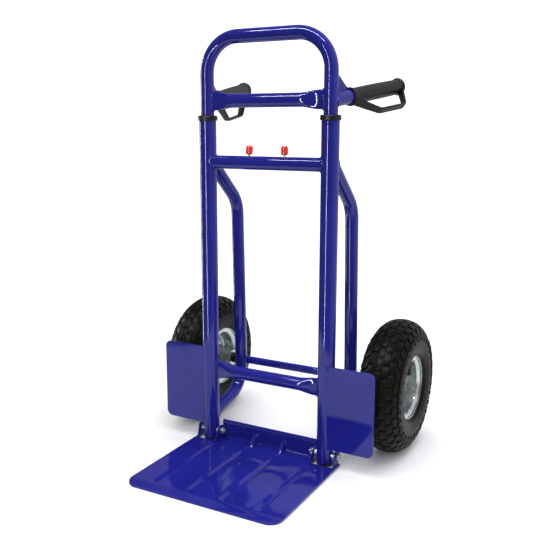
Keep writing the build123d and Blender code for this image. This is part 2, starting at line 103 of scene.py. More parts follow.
def make_piece(name, skins, body, finish, stands_for=(), thick=0.0, bevel=0.0, sharp=38.0):
    """Join skins into one closed piece at its place, and let it ride on a body."""
    starts = np.cumsum([0] + [len(part) for part, _ in skins])
    points = np.concatenate([part for part, _ in skins]) + (0, tubes_y, 0)
    faces = np.concatenate([corners + start for (_, corners), start in zip(skins, starts)])
    mesh = bpy.data.meshes.new(name)
    mesh.from_pydata(points / 1000, [], faces)
    work = bmesh.new()
    work.from_mesh(mesh)
    bmesh.ops.remove_doubles(work, verts=work.verts, dist=3e-6)
    loose = [vertex for vertex in work.verts if not vertex.link_faces]
    bmesh.ops.delete(work, geom=loose, context="VERTS")
    bmesh.ops.recalc_face_normals(work, faces=work.faces)
    work.to_mesh(mesh)
    work.free()
    mesh.shade_smooth()
    if not bevel:
        mesh.set_sharp_from_angle(angle=math.radians(sharp))
    piece = bpy.data.objects.new(name, mesh)
    bpy.context.scene.collection.objects.link(piece)
    material, slot = finish
    mesh.materials.append(material)
    if thick:
        sheet = piece.modifiers.new("sheet", "SOLIDIFY")
        sheet.thickness = thick / 1000
        sheet.offset = 0.0
        sheet.use_even_offset = True
    if bevel:
        edge = piece.modifiers.new("edge", "BEVEL")
        edge.width = bevel / 1000
        edge.segments = 2
        edge.limit_method = "ANGLE"
        edge.angle_limit = math.radians(45)
        edge.harden_normals = True
    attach(piece, body)
    if stands_for:
        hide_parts(*stands_for)


def turned(profile, origin, axis, sides=64):
    """A profile of (distance along the axis, radius) turned about the axis: centre plus
    distance times axis plus radius times cosine and sine of the angle round it."""
    profile = np.array(profile, float)
    axis = np.array(axis, float) / np.linalg.norm(axis)
    helper = (0.0, 1.0, 0.0) if abs(axis[2]) > 0.8 else (0.0, 0.0, 1.0)
    across = np.cross(helper, axis)
    across /= np.linalg.norm(across)
    other = np.cross(axis, across)
    angle = np.linspace(0, 2 * np.pi, sides, endpoint=False)[:, None, None]
    round_it = np.cos(angle) * across + np.sin(angle) * other
    return np.array(origin, float) + profile[None, :, :1] * axis + profile[None, :, 1:] * round_it


# Stove enamel over steel: an even, deep blue under a hard gloss skin, with the faint long
# ripple of sprayed paint, so that lights in it have soft, slightly wavy edges.
enamel, tree, shader, where = start_material(
    "gloss_blue_stove_enamel", IOR=1.45, Specular_IOR_Level=0.0,
    Coat_Weight=1.0, Coat_Roughness=0.035, Coat_IOR=1.42,
)
drift = add_node(tree, "ShaderNodeTexNoise", {"Vector": where, "Scale": 1000 / 70, "Detail": 3.0})
shade = add_node(tree, "ShaderNodeValToRGB", {"Fac": drift.outputs["Fac"]})
shade.color_ramp.elements[0].position = 0.35
shade.color_ramp.elements[0].color = srgb("1A1D76")
shade.color_ramp.elements[1].position = 0.65
shade.color_ramp.elements[1].color = srgb("1E2182")
tree.links.new(shade.outputs["Color"], shader.inputs["Base Color"])
spread = add_node(tree, "ShaderNodeMapRange", {"Value": drift.outputs["Fac"], "To Min": 0.28, "To Max": 0.38})
tree.links.new(spread.outputs["Result"], shader.inputs["Roughness"])
peel = add_node(tree, "ShaderNodeTexNoise", {"Vector": where, "Scale": 1000 / 2.4, "Detail": 1.0})
sway = add_node(tree, "ShaderNodeTexNoise", {"Vector": where, "Scale": 1000 / 22, "Detail": 1.0})
both = add_node(tree, "ShaderNodeMath", {0: peel.outputs["Fac"], 1: sway.outputs["Fac"]}, operation="ADD")
ripple = add_node(
    tree, "ShaderNodeBump", {"Height": both.outputs[0], "Strength": 0.045, "Distance": 0.0006}
)
tree.links.new(ripple.outputs["Normal"], shader.inputs["Normal"])
tree.links.new(ripple.outputs["Normal"], shader.inputs["Coat Normal"])
blue_enamel = (enamel, "blue_enamel")

tube_profile = [
    (main_foot_z, main_r - wall), (main_foot_z, main_r - 0.3), (main_foot_z + 0.3, main_r),
    (main_top_z - 0.3, main_r), (main_top_z, main_r - 0.3), (main_top_z, main_r - wall),
]
for side, word in ((1, "right"), (-1, "left")):
    tube = turned(tube_profile, (side * tube_x, 0, 0), (0, 0, 1), 96)
    make_piece(f"{word}_upright_tube", [skin(tube, True, True)], "frame", blue_enamel, [f"{word}_main_tube"])

# ---- upper cross tube ----
# A 25 mm tube coped to the main tubes and welded all round, with two slots in its top for
# the latch knobs. The weld is a ring of overlapping ripples under the enamel.
bar_r = 12.5
low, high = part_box("upper_cross_tube")
cross_z = (low.z + high.z) * 500
knob_x, stem_r, slot_play = 37.0, 2.25, 1.0
slot_in = knob_x - 10.0 - stem_r - slot_play
slot_out = knob_x + 6.0 + stem_r + slot_play
slot_half = 2.75


def slide_to_post(points, direction, post_x, post_r):
    """Slide points along a direction onto an upright post: the far root of |offset + t d| = radius."""
    direction = np.array(direction, float)
    offset = points[..., :2] - (post_x, 0)
    flat = direction[:2]
    b = offset @ flat
    a = flat @ flat
    c = (offset**2).sum(-1) - post_r**2
    step = (-b + np.sqrt(np.maximum(b * b - a * c, 0))) / a
    return points + step[..., None] * direction


def weld_ring(foot, away, size, ripples, seed):
    """A weld round a joint: a small circle carried round the closed curve foot, in the plane
    of its outward side and the direction away, swollen by |sine| at every ripple."""
    away = np.array(away, float) / np.linalg.norm(away)
    run = np.roll(foot, -1, 0) - np.roll(foot, 1, 0)
    outward = np.cross(run, away)
    outward /= np.linalg.norm(outward, axis=1)[:, None]
    outward *= np.sign(((foot - foot.mean(0)) * outward).sum())
    phase = np.arange(len(foot)) / len(foot) * ripples
    each = np.random.default_rng(seed).uniform(0.9, 1.1, ripples)[phase.astype(int)]
    swell = size * each * (0.74 + 0.26 * np.abs(np.sin(np.pi * phase)) ** 0.6)
    angle = np.linspace(0, 2 * np.pi, 12, endpoint=False)[None, :, None]
    ring = np.cos(angle) * outward[:, None] + 1.25 * np.sin(angle) * away
    return skin(foot[:, None] + swell[:, None, None] * ring, True, True)


def bar_foot(z, post_x, post_r, away, count):
    """Where a 25 mm bar along X meets a post: its circle slid along X onto the post."""
    angle = np.linspace(0, 2 * np.pi, count, endpoint=False)
    circle = np.stack([0 * angle + post_x, bar_r * np.cos(angle), z + bar_r * np.sin(angle)], -1)
    return slide_to_post(circle, away, post_x, post_r)


half = np.concatenate([
    [0, slot_in - 6, slot_in + slot_half, slot_in + slot_half + 4, slot_out - slot_half - 4],
    [slot_out - slot_half, slot_out + 6, 80.0, tube_x],
])
stations = np.concatenate([-half[:0:-1], half])
slot_angle = np.arcsin(slot_half / bar_r)
past_slot = np.linspace(slot_angle, 2 * np.pi - slot_angle, 56)[1:-1]
angle = np.concatenate([np.linspace(-slot_angle, slot_angle, 9), past_slot])
mid_r = bar_r - wall / 2
cross = np.zeros((len(stations), len(angle), 3))
cross[..., 0] = stations[:, None]
cross[..., 1] = mid_r * np.sin(angle)
cross[..., 2] = cross_z + mid_r * np.cos(angle)
end_bulge = np.sqrt(np.maximum(slot_half**2 - cross[0, :, 1] ** 2, 0)) * (np.cos(angle) > 0)
middle = len(half) - 1
for side in (1, -1):
    cross[middle + side * 2, :, 0] = side * (slot_in + slot_half - end_bulge)
    cross[middle + side * 5, :, 0] = side * (slot_out - slot_half + end_bulge)
cross[-1] = slide_to_post(cross[-1], (-1, 0, 0), tube_x, main_r - 0.4)
cross[0] = slide_to_post(cross[0], (1, 0, 0), -tube_x, main_r - 0.4)
cell_x = np.abs(stations[:-1] + stations[1:]) / 2
in_slot_x = (cell_x > slot_in + slot_half) & (cell_x < slot_out - slot_half)
in_slot_angle = np.arange(len(angle)) < 8
keep = ~(in_slot_x[:, None] & in_slot_angle[None, :])
make_piece(
    "latch_cross_tube", [skin(cross, False, True, keep)], "frame", blue_enamel,
    ["upper_cross_tube"], thick=wall, bevel=0.25,
)
for side, word in ((1, "right"), (-1, "left")):
    foot = bar_foot(cross_z, side * tube_x, main_r, (-side, 0, 0), 168)
    bead = weld_ring(foot, (-side, 0, 0), 2.3, 28, 11 + side)
    make_piece(f"{word}_cross_tube_weld", [bead], "frame", blue_enamel, sharp=70)

# ---- lower crossbar ----
# A 25 mm tube whose ends are squeezed flat and upright, 34 mm high and 9.4 mm thick, coped
# and welded to the main tubes. The handle has one like it, so the shape is a function.
low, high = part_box("lower_crossbar")
lower_bar_z = (low.z + high.z) * 500
flat_half_height = 17.0
flat_half_width = 4.7


def flared_section(blend, angle, inset):
    """A circle that turns into an upright flat: the flat's height adds a clipped sine to its
    small circle, and blend mixes the two outlines."""
    round_y = (bar_r - inset) * np.cos(angle)
    round_z = (bar_r - inset) * np.sin(angle)
    straight = flat_half_height - flat_half_width
    flat_y = (flat_half_width - inset) * np.sign(np.cos(angle)) * np.abs(np.cos(angle)) ** 0.8
    flat_z = straight * np.clip(np.sin(angle) / 0.75, -1, 1) + (flat_half_width - inset) * np.sin(angle)
    return (1 - blend) * round_y + blend * flat_y, (1 - blend) * round_z + blend * flat_z


def flared_bar(name, z, post_r, body, stands_for, seed):
    """Stations along X carry the flared section; the inner wall comes back inside the outer."""
    flare_in, flare_out = 68, min(106, tube_x - post_r - 4)
    stations = np.concatenate([[0, 30, 60], np.linspace(flare_in, flare_out, 12), [tube_x]])
    stations = np.concatenate([-stations[:0:-1], stations])
    t = np.clip((np.abs(stations) - flare_in) / (flare_out - flare_in), 0, 1)
    blend = (t * t * (3 - 2 * t))[:, None]
    angle = np.linspace(0, 2 * np.pi, 72, endpoint=False)[None, :]
    walls = []
    for inset in (0.0, wall):
        y, section_z = flared_section(blend, angle, inset)
        shell = np.stack([stations[:, None] + 0 * y, y, z + section_z], -1)
        shell[-1] = slide_to_post(shell[-1], (-1, 0, 0), tube_x, post_r - 0.4)
        shell[0] = slide_to_post(shell[0], (1, 0, 0), -tube_x, post_r - 0.4)
        walls.append(shell)
    shell = skin(np.concatenate([walls[0], walls[1][::-1]]), True, True)
    make_piece(name, [shell], body, blue_enamel, [stands_for])
    fine = np.linspace(0, 2 * np.pi, 4000, endpoint=False)
    y, section_z = flared_section(1.0, fine, 0.0)
    length = np.cumsum(np.hypot(np.diff(y, append=y[0]), np.diff(section_z, append=section_z[0])))
    even = np.interp(np.linspace(0, length[-1], 168, endpoint=False), length, fine)
    y, section_z = flared_section(1.0, even, 0.0)
    for side, word in ((1, "right"), (-1, "left")):
        foot = np.stack([0 * y + side * tube_x, y, z + section_z], -1)
        foot = slide_to_post(foot, (-side, 0, 0), side * tube_x, post_r)
        bead = weld_ring(foot, (-side, 0, 0), 2.2, 28, seed + side)
        make_piece(f"{word}_{name}_weld", [bead], body, blue_enamel, sharp=70)


flared_bar("flared_lower_bar", lower_bar_z, main_r, "frame", "lower_crossbar", 21)

# ---- rear legs ----
# One 25 mm tube each side, bent twice in a bender, so its section is a little oval through
# the bends, then coped and welded to the back of the main tube at both ends.
leg_low_foot, leg_high_foot = 51.0, 569.2
leg_corners = [(0, leg_low_foot), (119.3, 80.0), (104.7, 476.7), (0, leg_high_foot)]


def bent_line(corners, radii, step=4.0):
    """Centre line of a tube bent in one plane: straight runs and arcs that touch both. Gives
    points, unit tangents, and how far into a bend each point is, as a half sine."""
    corners = np.array(corners, float)
    runs = np.diff(corners, axis=0)
    runs /= np.linalg.norm(runs, axis=1)[:, None]
    points, tangents, bend = [corners[:1]], [runs[:1]], [np.zeros(1)]
    for corner, before, after, radius in zip(corners[1:-1], runs, runs[1:], radii):
        turn = math.atan2(before[0] * after[1] - before[1] * after[0], before @ after)
        inward = np.array([-before[1], before[0]]) * np.sign(turn)
        start = corner - before * radius * math.tan(abs(turn) / 2)
        count = max(4, round(abs(math.degrees(turn)) / step) + 1)
        a = np.linspace(0, abs(turn), count)[:, None]
        points.append(start + inward * radius * (1 - np.cos(a)) + before * radius * np.sin(a))
        tangents.append(before * np.cos(a) + inward * np.sin(a))
        bend.append(np.minimum(1, 2.4 * np.sin(np.linspace(0, np.pi, count)) + 0.25))
    points.append(corners[-1:])
    tangents.append(runs[-1:])
    bend.append(np.zeros(1))
    return np.concatenate(points), np.concatenate(tangents), np.concatenate(bend)


def bent_tube(line, lift, radius, oval, sides=64):
    """A wall carried along a bent line: centre, plus cosine times the in-plane radius, plus
    sine times the radius across the plane. Gives the outer and the inner wall."""
    points, tangents, bend = line
    centre, along = lift(points), lift(tangents) - lift(np.zeros((1, 2)))
    across = np.cross(along[0], along[len(along) // 2])
    across = across / np.linalg.norm(across)
    normal = np.cross(across, along)
    angle = np.linspace(0, 2 * np.pi, sides, endpoint=False)[:, None, None]
    walls = []
    for inset in (0.0, wall):
        in_plane = (radius * (1 - oval * bend) - inset)[:, None]
        out_plane = (radius * (1 + 0.5 * oval * bend) - inset)[:, None]
        walls.append(centre + np.cos(angle) * in_plane * normal + np.sin(angle) * out_plane * across)
    return walls


leg_line = bent_line(leg_corners, [57.0, 60.0])
low_run = np.array([0.0, 119.3, 29.0]) / math.hypot(119.3, 29.0)
high_run = np.array([0.0, 104.7, -92.5]) / math.hypot(104.7, 92.5)
for side, word in ((1, "right"), (-1, "left")):
    lift = lambda flat: np.insert(flat, 0, side * tube_x, axis=1)
    walls = bent_tube(leg_line, lift, bar_r, 0.05)
    for shell in walls:
        shell[:, 0] = slide_to_post(shell[:, 0], low_run, side * tube_x, main_r - 0.4)
        shell[:, -1] = slide_to_post(shell[:, -1], high_run, side * tube_x, main_r - 0.4)
    leg = np.concatenate([walls[0], walls[1][:, ::-1]], axis=1)
    make_piece(f"{word}_bent_leg", [skin(leg, True, True)], "frame", blue_enamel, [f"{word}_rear_leg"])
    angle = np.linspace(0, 2 * np.pi, 168, endpoint=False)[:, None]
    beads = []
    for run, foot_z in ((low_run, leg_low_foot), (high_run, leg_high_foot)):
        spoke = np.cos(angle) * (1, 0, 0) + np.sin(angle) * np.cross(run, (1, 0, 0))
        circle = np.array([side * tube_x, 0, foot_z]) + bar_r * spoke
        foot = slide_to_post(circle, run, side * tube_x, main_r)
        beads.append(weld_ring(foot, run, 2.3, 28, int(foot_z) + side))
    make_piece(f"{word}_leg_welds", beads, "frame", blue_enamel, sharp=70)

# ---- wheel guards ----
# A 2 mm sheet plate each side, guillotined square with its outer corners rounded to 12 mm,
# stood against the front quarter of the main tube and held by a short weld at each end.
low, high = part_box("right_wheel_guard")
guard_low, guard_high, guard_reach = low.z * 1000, high.z * 1000, high.x * 1000
guard_y = (low.y + high.y) * 500 - tubes_y


def weld_line(start, end, size, seed):
    """A short weld: a rippled bead along a line, its radius falling to nothing at both ends."""
    start, end = np.array(start, float), np.array(end, float)
    length = np.linalg.norm(end - start)
    ripples = max(3, round(length / 3.6))
    t = np.linspace(0, 1, ripples * 6 + 1)
    along = (end - start) / length
    across = np.cross(along, (0, 1, 0) if abs(along[1]) < 0.8 else (1, 0, 0))
    across /= np.linalg.norm(across)
    other = np.cross(along, across)
    each = np.random.default_rng(seed).uniform(0.88, 1.12, ripples + 1)[(t * ripples).astype(int)]
    swell = size * each * (0.74 + 0.26 * np.abs(np.sin(np.pi * t * ripples)) ** 0.6)
    swell = swell * (1 - np.abs(2 * t - 1) ** 6) ** 0.5
    angle = np.linspace(0, 2 * np.pi, 12, endpoint=False)[None, :, None]
    ring = np.cos(angle) * across + np.sin(angle) * other
    return skin(start + (t * length)[:, None, None] * along + swell[:, None, None] * ring, False, True)


corner = 12.0
arc = np.sin(np.linspace(0, np.pi / 2, 9))
z = np.concatenate([
    guard_low + corner * (1 - arc[::-1]), np.linspace(guard_low + corner, guard_high - corner, 14)[1:-1],
    guard_high - corner * (1 - arc),
])
into = np.maximum(np.maximum(guard_low + corner - z, z - guard_high + corner), 0)
edge_x = guard_reach - corner + np.sqrt(np.maximum(corner**2 - into**2, 0))
u = np.linspace(0, 1, 16)[None, :]
inner_x = tube_x + 8.6
for side, word in ((1, "right"), (-1, "left")):
    x = inner_x + u * (edge_x[:, None] - inner_x)
    bow = 0.5 * np.sin(np.pi * u) * np.sin(np.pi * (z[:, None] - guard_low) / (guard_high - guard_low))
    guard = np.stack([side * x, guard_y - bow, z[:, None] + 0 * x], -1)
    make_piece(
        f"{word}_guard_plate", [skin(guard)], "frame", blue_enamel, [f"{word}_wheel_guard"],
        thick=2.0, bevel=0.5,
    )
    weld_x, weld_y = side * (tube_x + 8.3), guard_y - 0.3
    beads = [
        weld_line((weld_x, weld_y, guard_high - 26), (weld_x, weld_y, guard_high + 1), 2.1, 31 + side),
        weld_line((weld_x, weld_y, guard_low - 1), (weld_x, weld_y, guard_low + 24), 2.1, 35 + side),
    ]
    make_piece(f"{word}_guard_welds", beads, "frame", blue_enamel, sharp=70)

# ---- tube collars ----
# A moulded nylon ring pushed into the top of each main tube. It guides the handle leg and
# stands 9.5 mm proud as a black band. A plug of the same nylon closes the tube's foot; its black band below
# the foot is partly painted shade for the gap there.
# Black nylon, moulded and lightly spark-eroded, so it is satin with a very fine grain.
nylon, tree, shader, where = start_material("black_moulded_nylon", IOR=1.53, Specular_IOR_Level=0.3)
shader.inputs["Base Color"].default_value = srgb("0E0E0D")
grain = add_node(tree, "ShaderNodeTexNoise", {"Vector": where, "Scale": 1000 / 0.7, "Detail": 2.0})
satin = add_node(tree, "ShaderNodeMapRange", {"Value": grain.outputs["Fac"], "To Min": 0.32, "To Max": 0.5})
tree.links.new(satin.outputs["Result"], shader.inputs["Roughness"])
pits = add_node(tree, "ShaderNodeBump", {"Height": grain.outputs["Fac"], "Strength": 0.2, "Distance": 0.0001})
tree.links.new(pits.outputs["Normal"], shader.inputs["Normal"])
black_nylon = (nylon, "black_plastic")

# Below the tube foot the black plug is partly a real plug and partly painted shade: it darkens the shaded gap
# over the toe plate's window.
plug_and_shade_profile = [
    (1.5, 0), (1.5, 13.6), (2.3, 15.0), (3.4, 15.6), (main_foot_z, 15.6), (main_foot_z, 14.3),
    (20, 14.2), (20, 0),
]
low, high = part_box("right_tube_collar")
collar_r, collar_top = (high.x - low.x) * 500, high.z * 1000
bore, spigot = 12.76, main_r - wall - 0.02
collar_profile = [
    (main_top_z - 20, bore), (main_top_z - 20, spigot), (main_top_z + 0.02, spigot),
    (main_top_z + 0.02, collar_r - 1.0), (main_top_z + 0.4, collar_r - 0.3), (main_top_z + 1.2, collar_r),
    (collar_top - 2.2, collar_r), (collar_top - 1.0, collar_r - 0.5), (collar_top - 0.25, collar_r - 1.5),
    (collar_top, collar_r - 2.8), (collar_top, bore + 0.6), (collar_top - 0.5, bore),
]
for side, word in ((1, "right"), (-1, "left")):
    collar = skin(turned(collar_profile, (side * tube_x, 0, 0), (0, 0, 1), 80), True, True)
    make_piece(f"{word}_guide_collar", [collar], "frame", black_nylon, [f"{word}_tube_collar"], sharp=50)
    plug = turned(plug_and_shade_profile, (side * tube_x, 0, 0), (0, 0, 1), 64)
    make_piece(f"{word}_foot_plug_and_shade", [skin(plug, True)], "frame", black_nylon)

# ---- axle, spacers, washers and split pins ----
# A 16 mm bar welded behind both legs and enamelled with them, so it is blue between the
# spacers and bright zinc beyond; a nylon spacer, a washer and a split pin hold each wheel.
# Zinc plate on steel: a cool grey mirror with a faint cloudy bloom and fine drawing marks.
zinc, tree, shader, where = start_material("bright_zinc_plate", Metallic=0.88)
cloud = add_node(tree, "ShaderNodeTexNoise", {"Vector": where, "Scale": 1000 / 9, "Detail": 4.0})
tone = add_node(tree, "ShaderNodeValToRGB", {"Fac": cloud.outputs["Fac"]})
tone.color_ramp.elements[0].position = 0.3
tone.color_ramp.elements[0].color = srgb("A9B0AE")
tone.color_ramp.elements[1].position = 0.7
tone.color_ramp.elements[1].color = srgb("CDD2D0")
tree.links.new(tone.outputs["Color"], shader.inputs["Base Color"])
bloom = add_node(tree, "ShaderNodeMapRange", {"Value": cloud.outputs["Fac"], "To Min": 0.14, "To Max": 0.30})
tree.links.new(bloom.outputs["Result"], shader.inputs["Roughness"])
lines = add_node(tree, "ShaderNodeTexNoise", {"Vector": where, "Scale": 1000 / 1.5, "Detail": 3.0})
drawn = add_node(
    tree, "ShaderNodeBump", {"Height": lines.outputs["Fac"], "Strength": 0.12, "Distance": 0.0001}
)
tree.links.new(drawn.outputs["Normal"], shader.inputs["Normal"])
zinc_plate = (zinc, "zinc_steel")

low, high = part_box("axle")
axle_y, axle_z, axle_end = (low.y + high.y) * 500 - tubes_y, (low.z + high.z) * 500, high.x * 1000
middle_profile = [(-140, 0), (-140, 8.0), (140, 8.0), (140, 0)]
axle = turned(middle_profile, (0, axle_y, axle_z), (1, 0, 0), 48)
make_piece("enamelled_axle", [skin(axle, True)], "frame", blue_enamel, ["axle"])
end_profile = [(140, 0), (140, 7.95), (axle_end - 1.2, 7.95), (axle_end, 6.8), (axle_end, 0)]
ends = [skin(turned(end_profile, (0, axle_y, axle_z), (side, 0, 0), 48), True) for side in (1, -1)]
make_piece("zinc_axle_ends", ends, "frame", zinc_plate, ["axle"])
leg_back = axle_y - 8.0
beads = []
for side in (1, -1):
    for up in (1, -1):
        weld_y, weld_z = leg_back + 1.2, axle_z + up * 6.6
        start, end = (side * (tube_x - 7), weld_y, weld_z), (side * (tube_x + 7), weld_y, weld_z)
        beads.append(weld_line(start, end, 2.6, 41 + side + 3 * up))
make_piece("axle_welds", beads, "frame", blue_enamel, sharp=70)

hub_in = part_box("right_hub")[0].x * 1000
spacer_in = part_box("right_axle_spacer")[0].x * 1000
pin_x = (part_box("axle_split_pins")[1].x) * 1000 - 3.0
washer_skins, pin_skins = [], []
for side, word in ((1, "right"), (-1, "left")):
    centre = (0, axle_y, axle_z)
    spacer_profile = [
        (spacer_in, 8.05), (spacer_in, 10.4), (spacer_in + 0.6, 11), (hub_in - 0.9, 11),
        (hub_in - 0.3, 10.4), (hub_in - 0.3, 8.05),
    ]
    spacer = skin(turned(spacer_profile, centre, (side, 0, 0), 48), True, True)
    make_piece(f"{word}_spacer_sleeve", [spacer], "frame", black_nylon, [f"{word}_axle_spacer"])
    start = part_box("axle_washers")[1].x * 1000 - 2.0
    washer_profile = [
        (start, 8.3), (start, 14.6), (start + 0.4, 15), (start + 1.6, 15), (start + 2, 14.6),
        (start + 2, 8.3),
    ]
    washer_skins.append(skin(turned(washer_profile, centre, (side, 0, 0), 48), True, True))
    t = np.linspace(0, 2 * np.pi, 28, endpoint=False)[:, None, None]
    around = np.linspace(0, 2 * np.pi, 10, endpoint=False)[None, :, None]
    spoke = np.cos(t) * np.array([0, 1.0, 0]) + np.sin(t) * np.array([0, 0, 1.0])
    eye_centre = np.array([side * pin_x, axle_y, axle_z + 12.0])
    eye = eye_centre + spoke * (3.0 + 1.0 * np.cos(around)) + np.sin(around) * np.array([1.0, 0, 0])
    pin_skins.append(skin(eye, True, True))
    for lean in (1, -1):
        leg_line_z = np.array([9.2, 4.0, -8.0, -10.5, -14.5])
        leg_line_y = lean * np.array([0.75, 0.75, 0.75, 1.4, 4.6])
        centre_line = np.stack([0 * leg_line_z + side * pin_x, axle_y + leg_line_y, axle_z + leg_line_z], -1)
        circle = np.cos(around) * np.array([1.0, 0, 0]) + np.sin(around) * np.array([0, 1.0, 0])
        shape = centre_line[:, None] + np.array([0.9, 0.9, 0.9, 0.9, 0.85])[:, None, None] * circle
        tips = [centre_line[:1, None] + 0 * shape[:1], centre_line[-1:, None] + 0 * shape[:1]]
        shape = np.concatenate([tips[0], shape, tips[1]])
        pin_skins.append(skin(shape, False, True))
make_piece("hub_end_washers", washer_skins, "frame", zinc_plate, ["axle_washers"])
make_piece("hub_split_pins", pin_skins, "frame", zinc_plate, ["axle_split_pins"])

# ---- toe plate ----
# One 2.5 mm steel sheet, pressed with four long grooves for stiffness and folded up at the
# back, with two gussets pressed into the fold and four ears bent up for the hinge bolts.
low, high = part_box("toe_plate")
front_y, flange_z = low.y * 1000 - tubes_y, high.z * 1000
sheet = 2.5
flat_z = 5.3 - sheet / 2
fold_mid_y = 10.0 + sheet / 2
fold_r, roll_z = 4.5, 36.5
ear_in, ear_out = 106.0, 149.0
window_y, strip_end_y, window_rows = -17.5, 5, 18
corner_x, corner_r, corner_y = 130, 25, -190
groove_end_y, groove_depth = -210, 2.8
rib_x, rib_foot_y, rib_head_z = 32, -10.0, 24.0


def smooth(t):
    """Zero below 0, one above 1, and 3t squared minus 2t cubed between."""
    t = np.clip(t, 0, 1)
    return t * t * (3 - 2 * t)


# Columns are closer over the grooves, and pass exactly through the edges of the windows that
# the ears are bent out of; rows are closer at the grooves' ends and in the fold.
to_ear = np.arcsin((ear_out - corner_x) / corner_r)
rim_x = corner_x + corner_r * np.sin(np.linspace(0, to_ear, 7))
last_x = corner_x + corner_r * np.sin(np.linspace(to_ear, np.pi / 2, 6))
fine_x = [np.linspace(middle - 10, middle + 10, 34) for middle in (34, 104)]
half_x = np.concatenate([
    np.linspace(0, ear_in, 54), np.linspace(ear_in, corner_x, 14), rim_x[1:], last_x[1:], *fine_x,
])
half_x = np.unique(np.round(half_x, 3))
half_x = half_x[np.append(np.diff(half_x) > 0.25, True) | (half_x == ear_in)]
x = np.concatenate([-half_x[:0:-1], half_x])[None, :]
flat_y = np.concatenate([
    np.linspace(front_y, -224, 9), np.linspace(-224, -200, 25)[1:], np.linspace(-200, -44, 46)[1:],
    np.linspace(-44, window_y, 18)[1:], np.linspace(window_y, strip_end_y, window_rows)[1:],
])
a = np.radians(np.linspace(0, 90, 9))
rise = np.linspace(flat_z + fold_r, roll_z, 12)[1:]
roll = np.linspace(roll_z, flange_z - 0.5, 4)[1:]
row_y = np.concatenate([
    flat_y, fold_mid_y - fold_r + fold_r * np.sin(a), 0 * rise + fold_mid_y,
    fold_mid_y + 0.42 * (roll - roll_z),
])
row_z = np.concatenate([0 * flat_y + flat_z, flat_z + fold_r * (1 - np.cos(a)), rise, roll])
row_y, row_z = row_y[:, None], row_z[:, None]
# Rows ahead of corner_y are squeezed evenly between it and the front edge, which is front_y
# plus the corner circle's cut. Over its last 24 mm the plate dips until its edge is on the floor.
cut = corner_r - np.sqrt(np.maximum(corner_r**2 - np.maximum(np.abs(x) - corner_x, 0) ** 2, 0))
squeezed_y = front_y + cut + (row_y - front_y) * (corner_y - front_y - cut) / (corner_y - front_y)
plate_y = np.where(row_y < corner_y, squeezed_y, row_y + 0 * x)
plate_z = row_z - (flat_z - sheet / 2) * (1 - smooth((plate_y - front_y) / 24))
# A groove's depth is groove_depth times (half width - distance) / (half width - 1.2), held
# between 0 and 1: a V with a narrow flat bottom, wider to the front.
depth = 0 * plate_y
for groove_x, back_y in ((34.0, -8.5), (104.0, -26.0)):
    nearest = np.clip(plate_y, groove_end_y, back_y - 8)
    off = np.hypot(np.abs(x) - groove_x, plate_y - nearest)
    half_groove = 6.0 + 3.0 * np.clip((back_y - plate_y) / 180, 0, 1)
    depth = np.maximum(depth, groove_depth * np.clip((half_groove - off) / (half_groove - 1.2), 0, 1))
wave = 0.32 * np.sin(x / 13.5 + plate_y / 31) * np.sin(plate_y / 17.0 - x / 60 + 1.1)
wave = wave * smooth((np.minimum(plate_y - front_y, -plate_y) - 6) / 20) * smooth((140 - np.abs(x)) / 20)
plate_z = plate_z - np.where(row_z <= flat_z, depth, 0) + np.where((row_z <= flat_z) & (depth < 0.1), wave, 0)
# Each gusset pulls the fold onto a straight line from its foot on the flat to its head.
run = np.concatenate([[0], np.cumsum(np.hypot(np.diff(row_y[:, 0]), np.diff(row_z[:, 0])))])
foot_run = np.interp(rib_foot_y, flat_y, run[:len(flat_y)])
head_run = np.interp(rib_head_z, row_z[len(flat_y):, 0], run[len(flat_y):])
t = np.clip((run - foot_run) / (head_run - foot_run), 0, 1)[:, None]
pull = (1 - smooth((np.abs(np.abs(x) - rib_x) - 2.2) / 5.5)) * ((run > foot_run) & (run < head_run))[:, None]
plate_y = plate_y + pull * (rib_foot_y + t * (fold_mid_y - rib_foot_y) - plate_y)
plate_z = plate_z + pull * (flat_z + t * (rib_head_z - flat_z) - plate_z)
plate = np.stack([x + 0 * plate_y, plate_y, plate_z], -1)
cell_x = np.abs(x[0, :-1] + x[0, 1:])[None, :] / 2
row_index = np.arange(len(row_y) - 1)[:, None]
window_row, strip_row = len(flat_y) - window_rows, len(flat_y) - 1
keep = (row_index < window_row) | (cell_x < ear_in) | ((cell_x > ear_out) & (row_index < strip_row))
make_piece(
    "folded_toe_plate", [skin(plate, keep=keep)], "toe_plate", blue_enamel, ["toe_plate"],
    thick=sheet, bevel=0.55,
)


def ear(mid_x, plate_side, base, outline):
    """A bent-up ear: a quarter bend out of the plate, then straight lines from its base to
    points spaced evenly round the outline."""
    outline = np.array(outline, float)
    length = np.concatenate([[0], np.cumsum(np.hypot(*np.diff(outline, axis=0).T))])
    u = np.linspace(0, 1, 40)
    top = np.stack([np.interp(u * length[-1], length, outline[:, k]) for k in (0, 1)], -1)
    foot = np.stack([base[0] + u * (base[1] - base[0]), 0 * u + flat_z + 3.0], -1)
    v = np.linspace(0, 1, 8)[:, None, None]
    wall_yz = foot + v * (top - foot)
    upright = np.insert(wall_yz, 0, mid_x, axis=2)
    turn = np.radians([0, 30, 60])[:, None]
    bend_x = mid_x + plate_side * 3.0 * (1 - np.sin(turn)) + 0 * u
    bend = np.stack([bend_x, foot[:, 0] + 0 * turn, flat_z + 3.0 * (1 - np.cos(turn)) + 0 * u], -1)
    return skin(np.concatenate([bend, upright]))


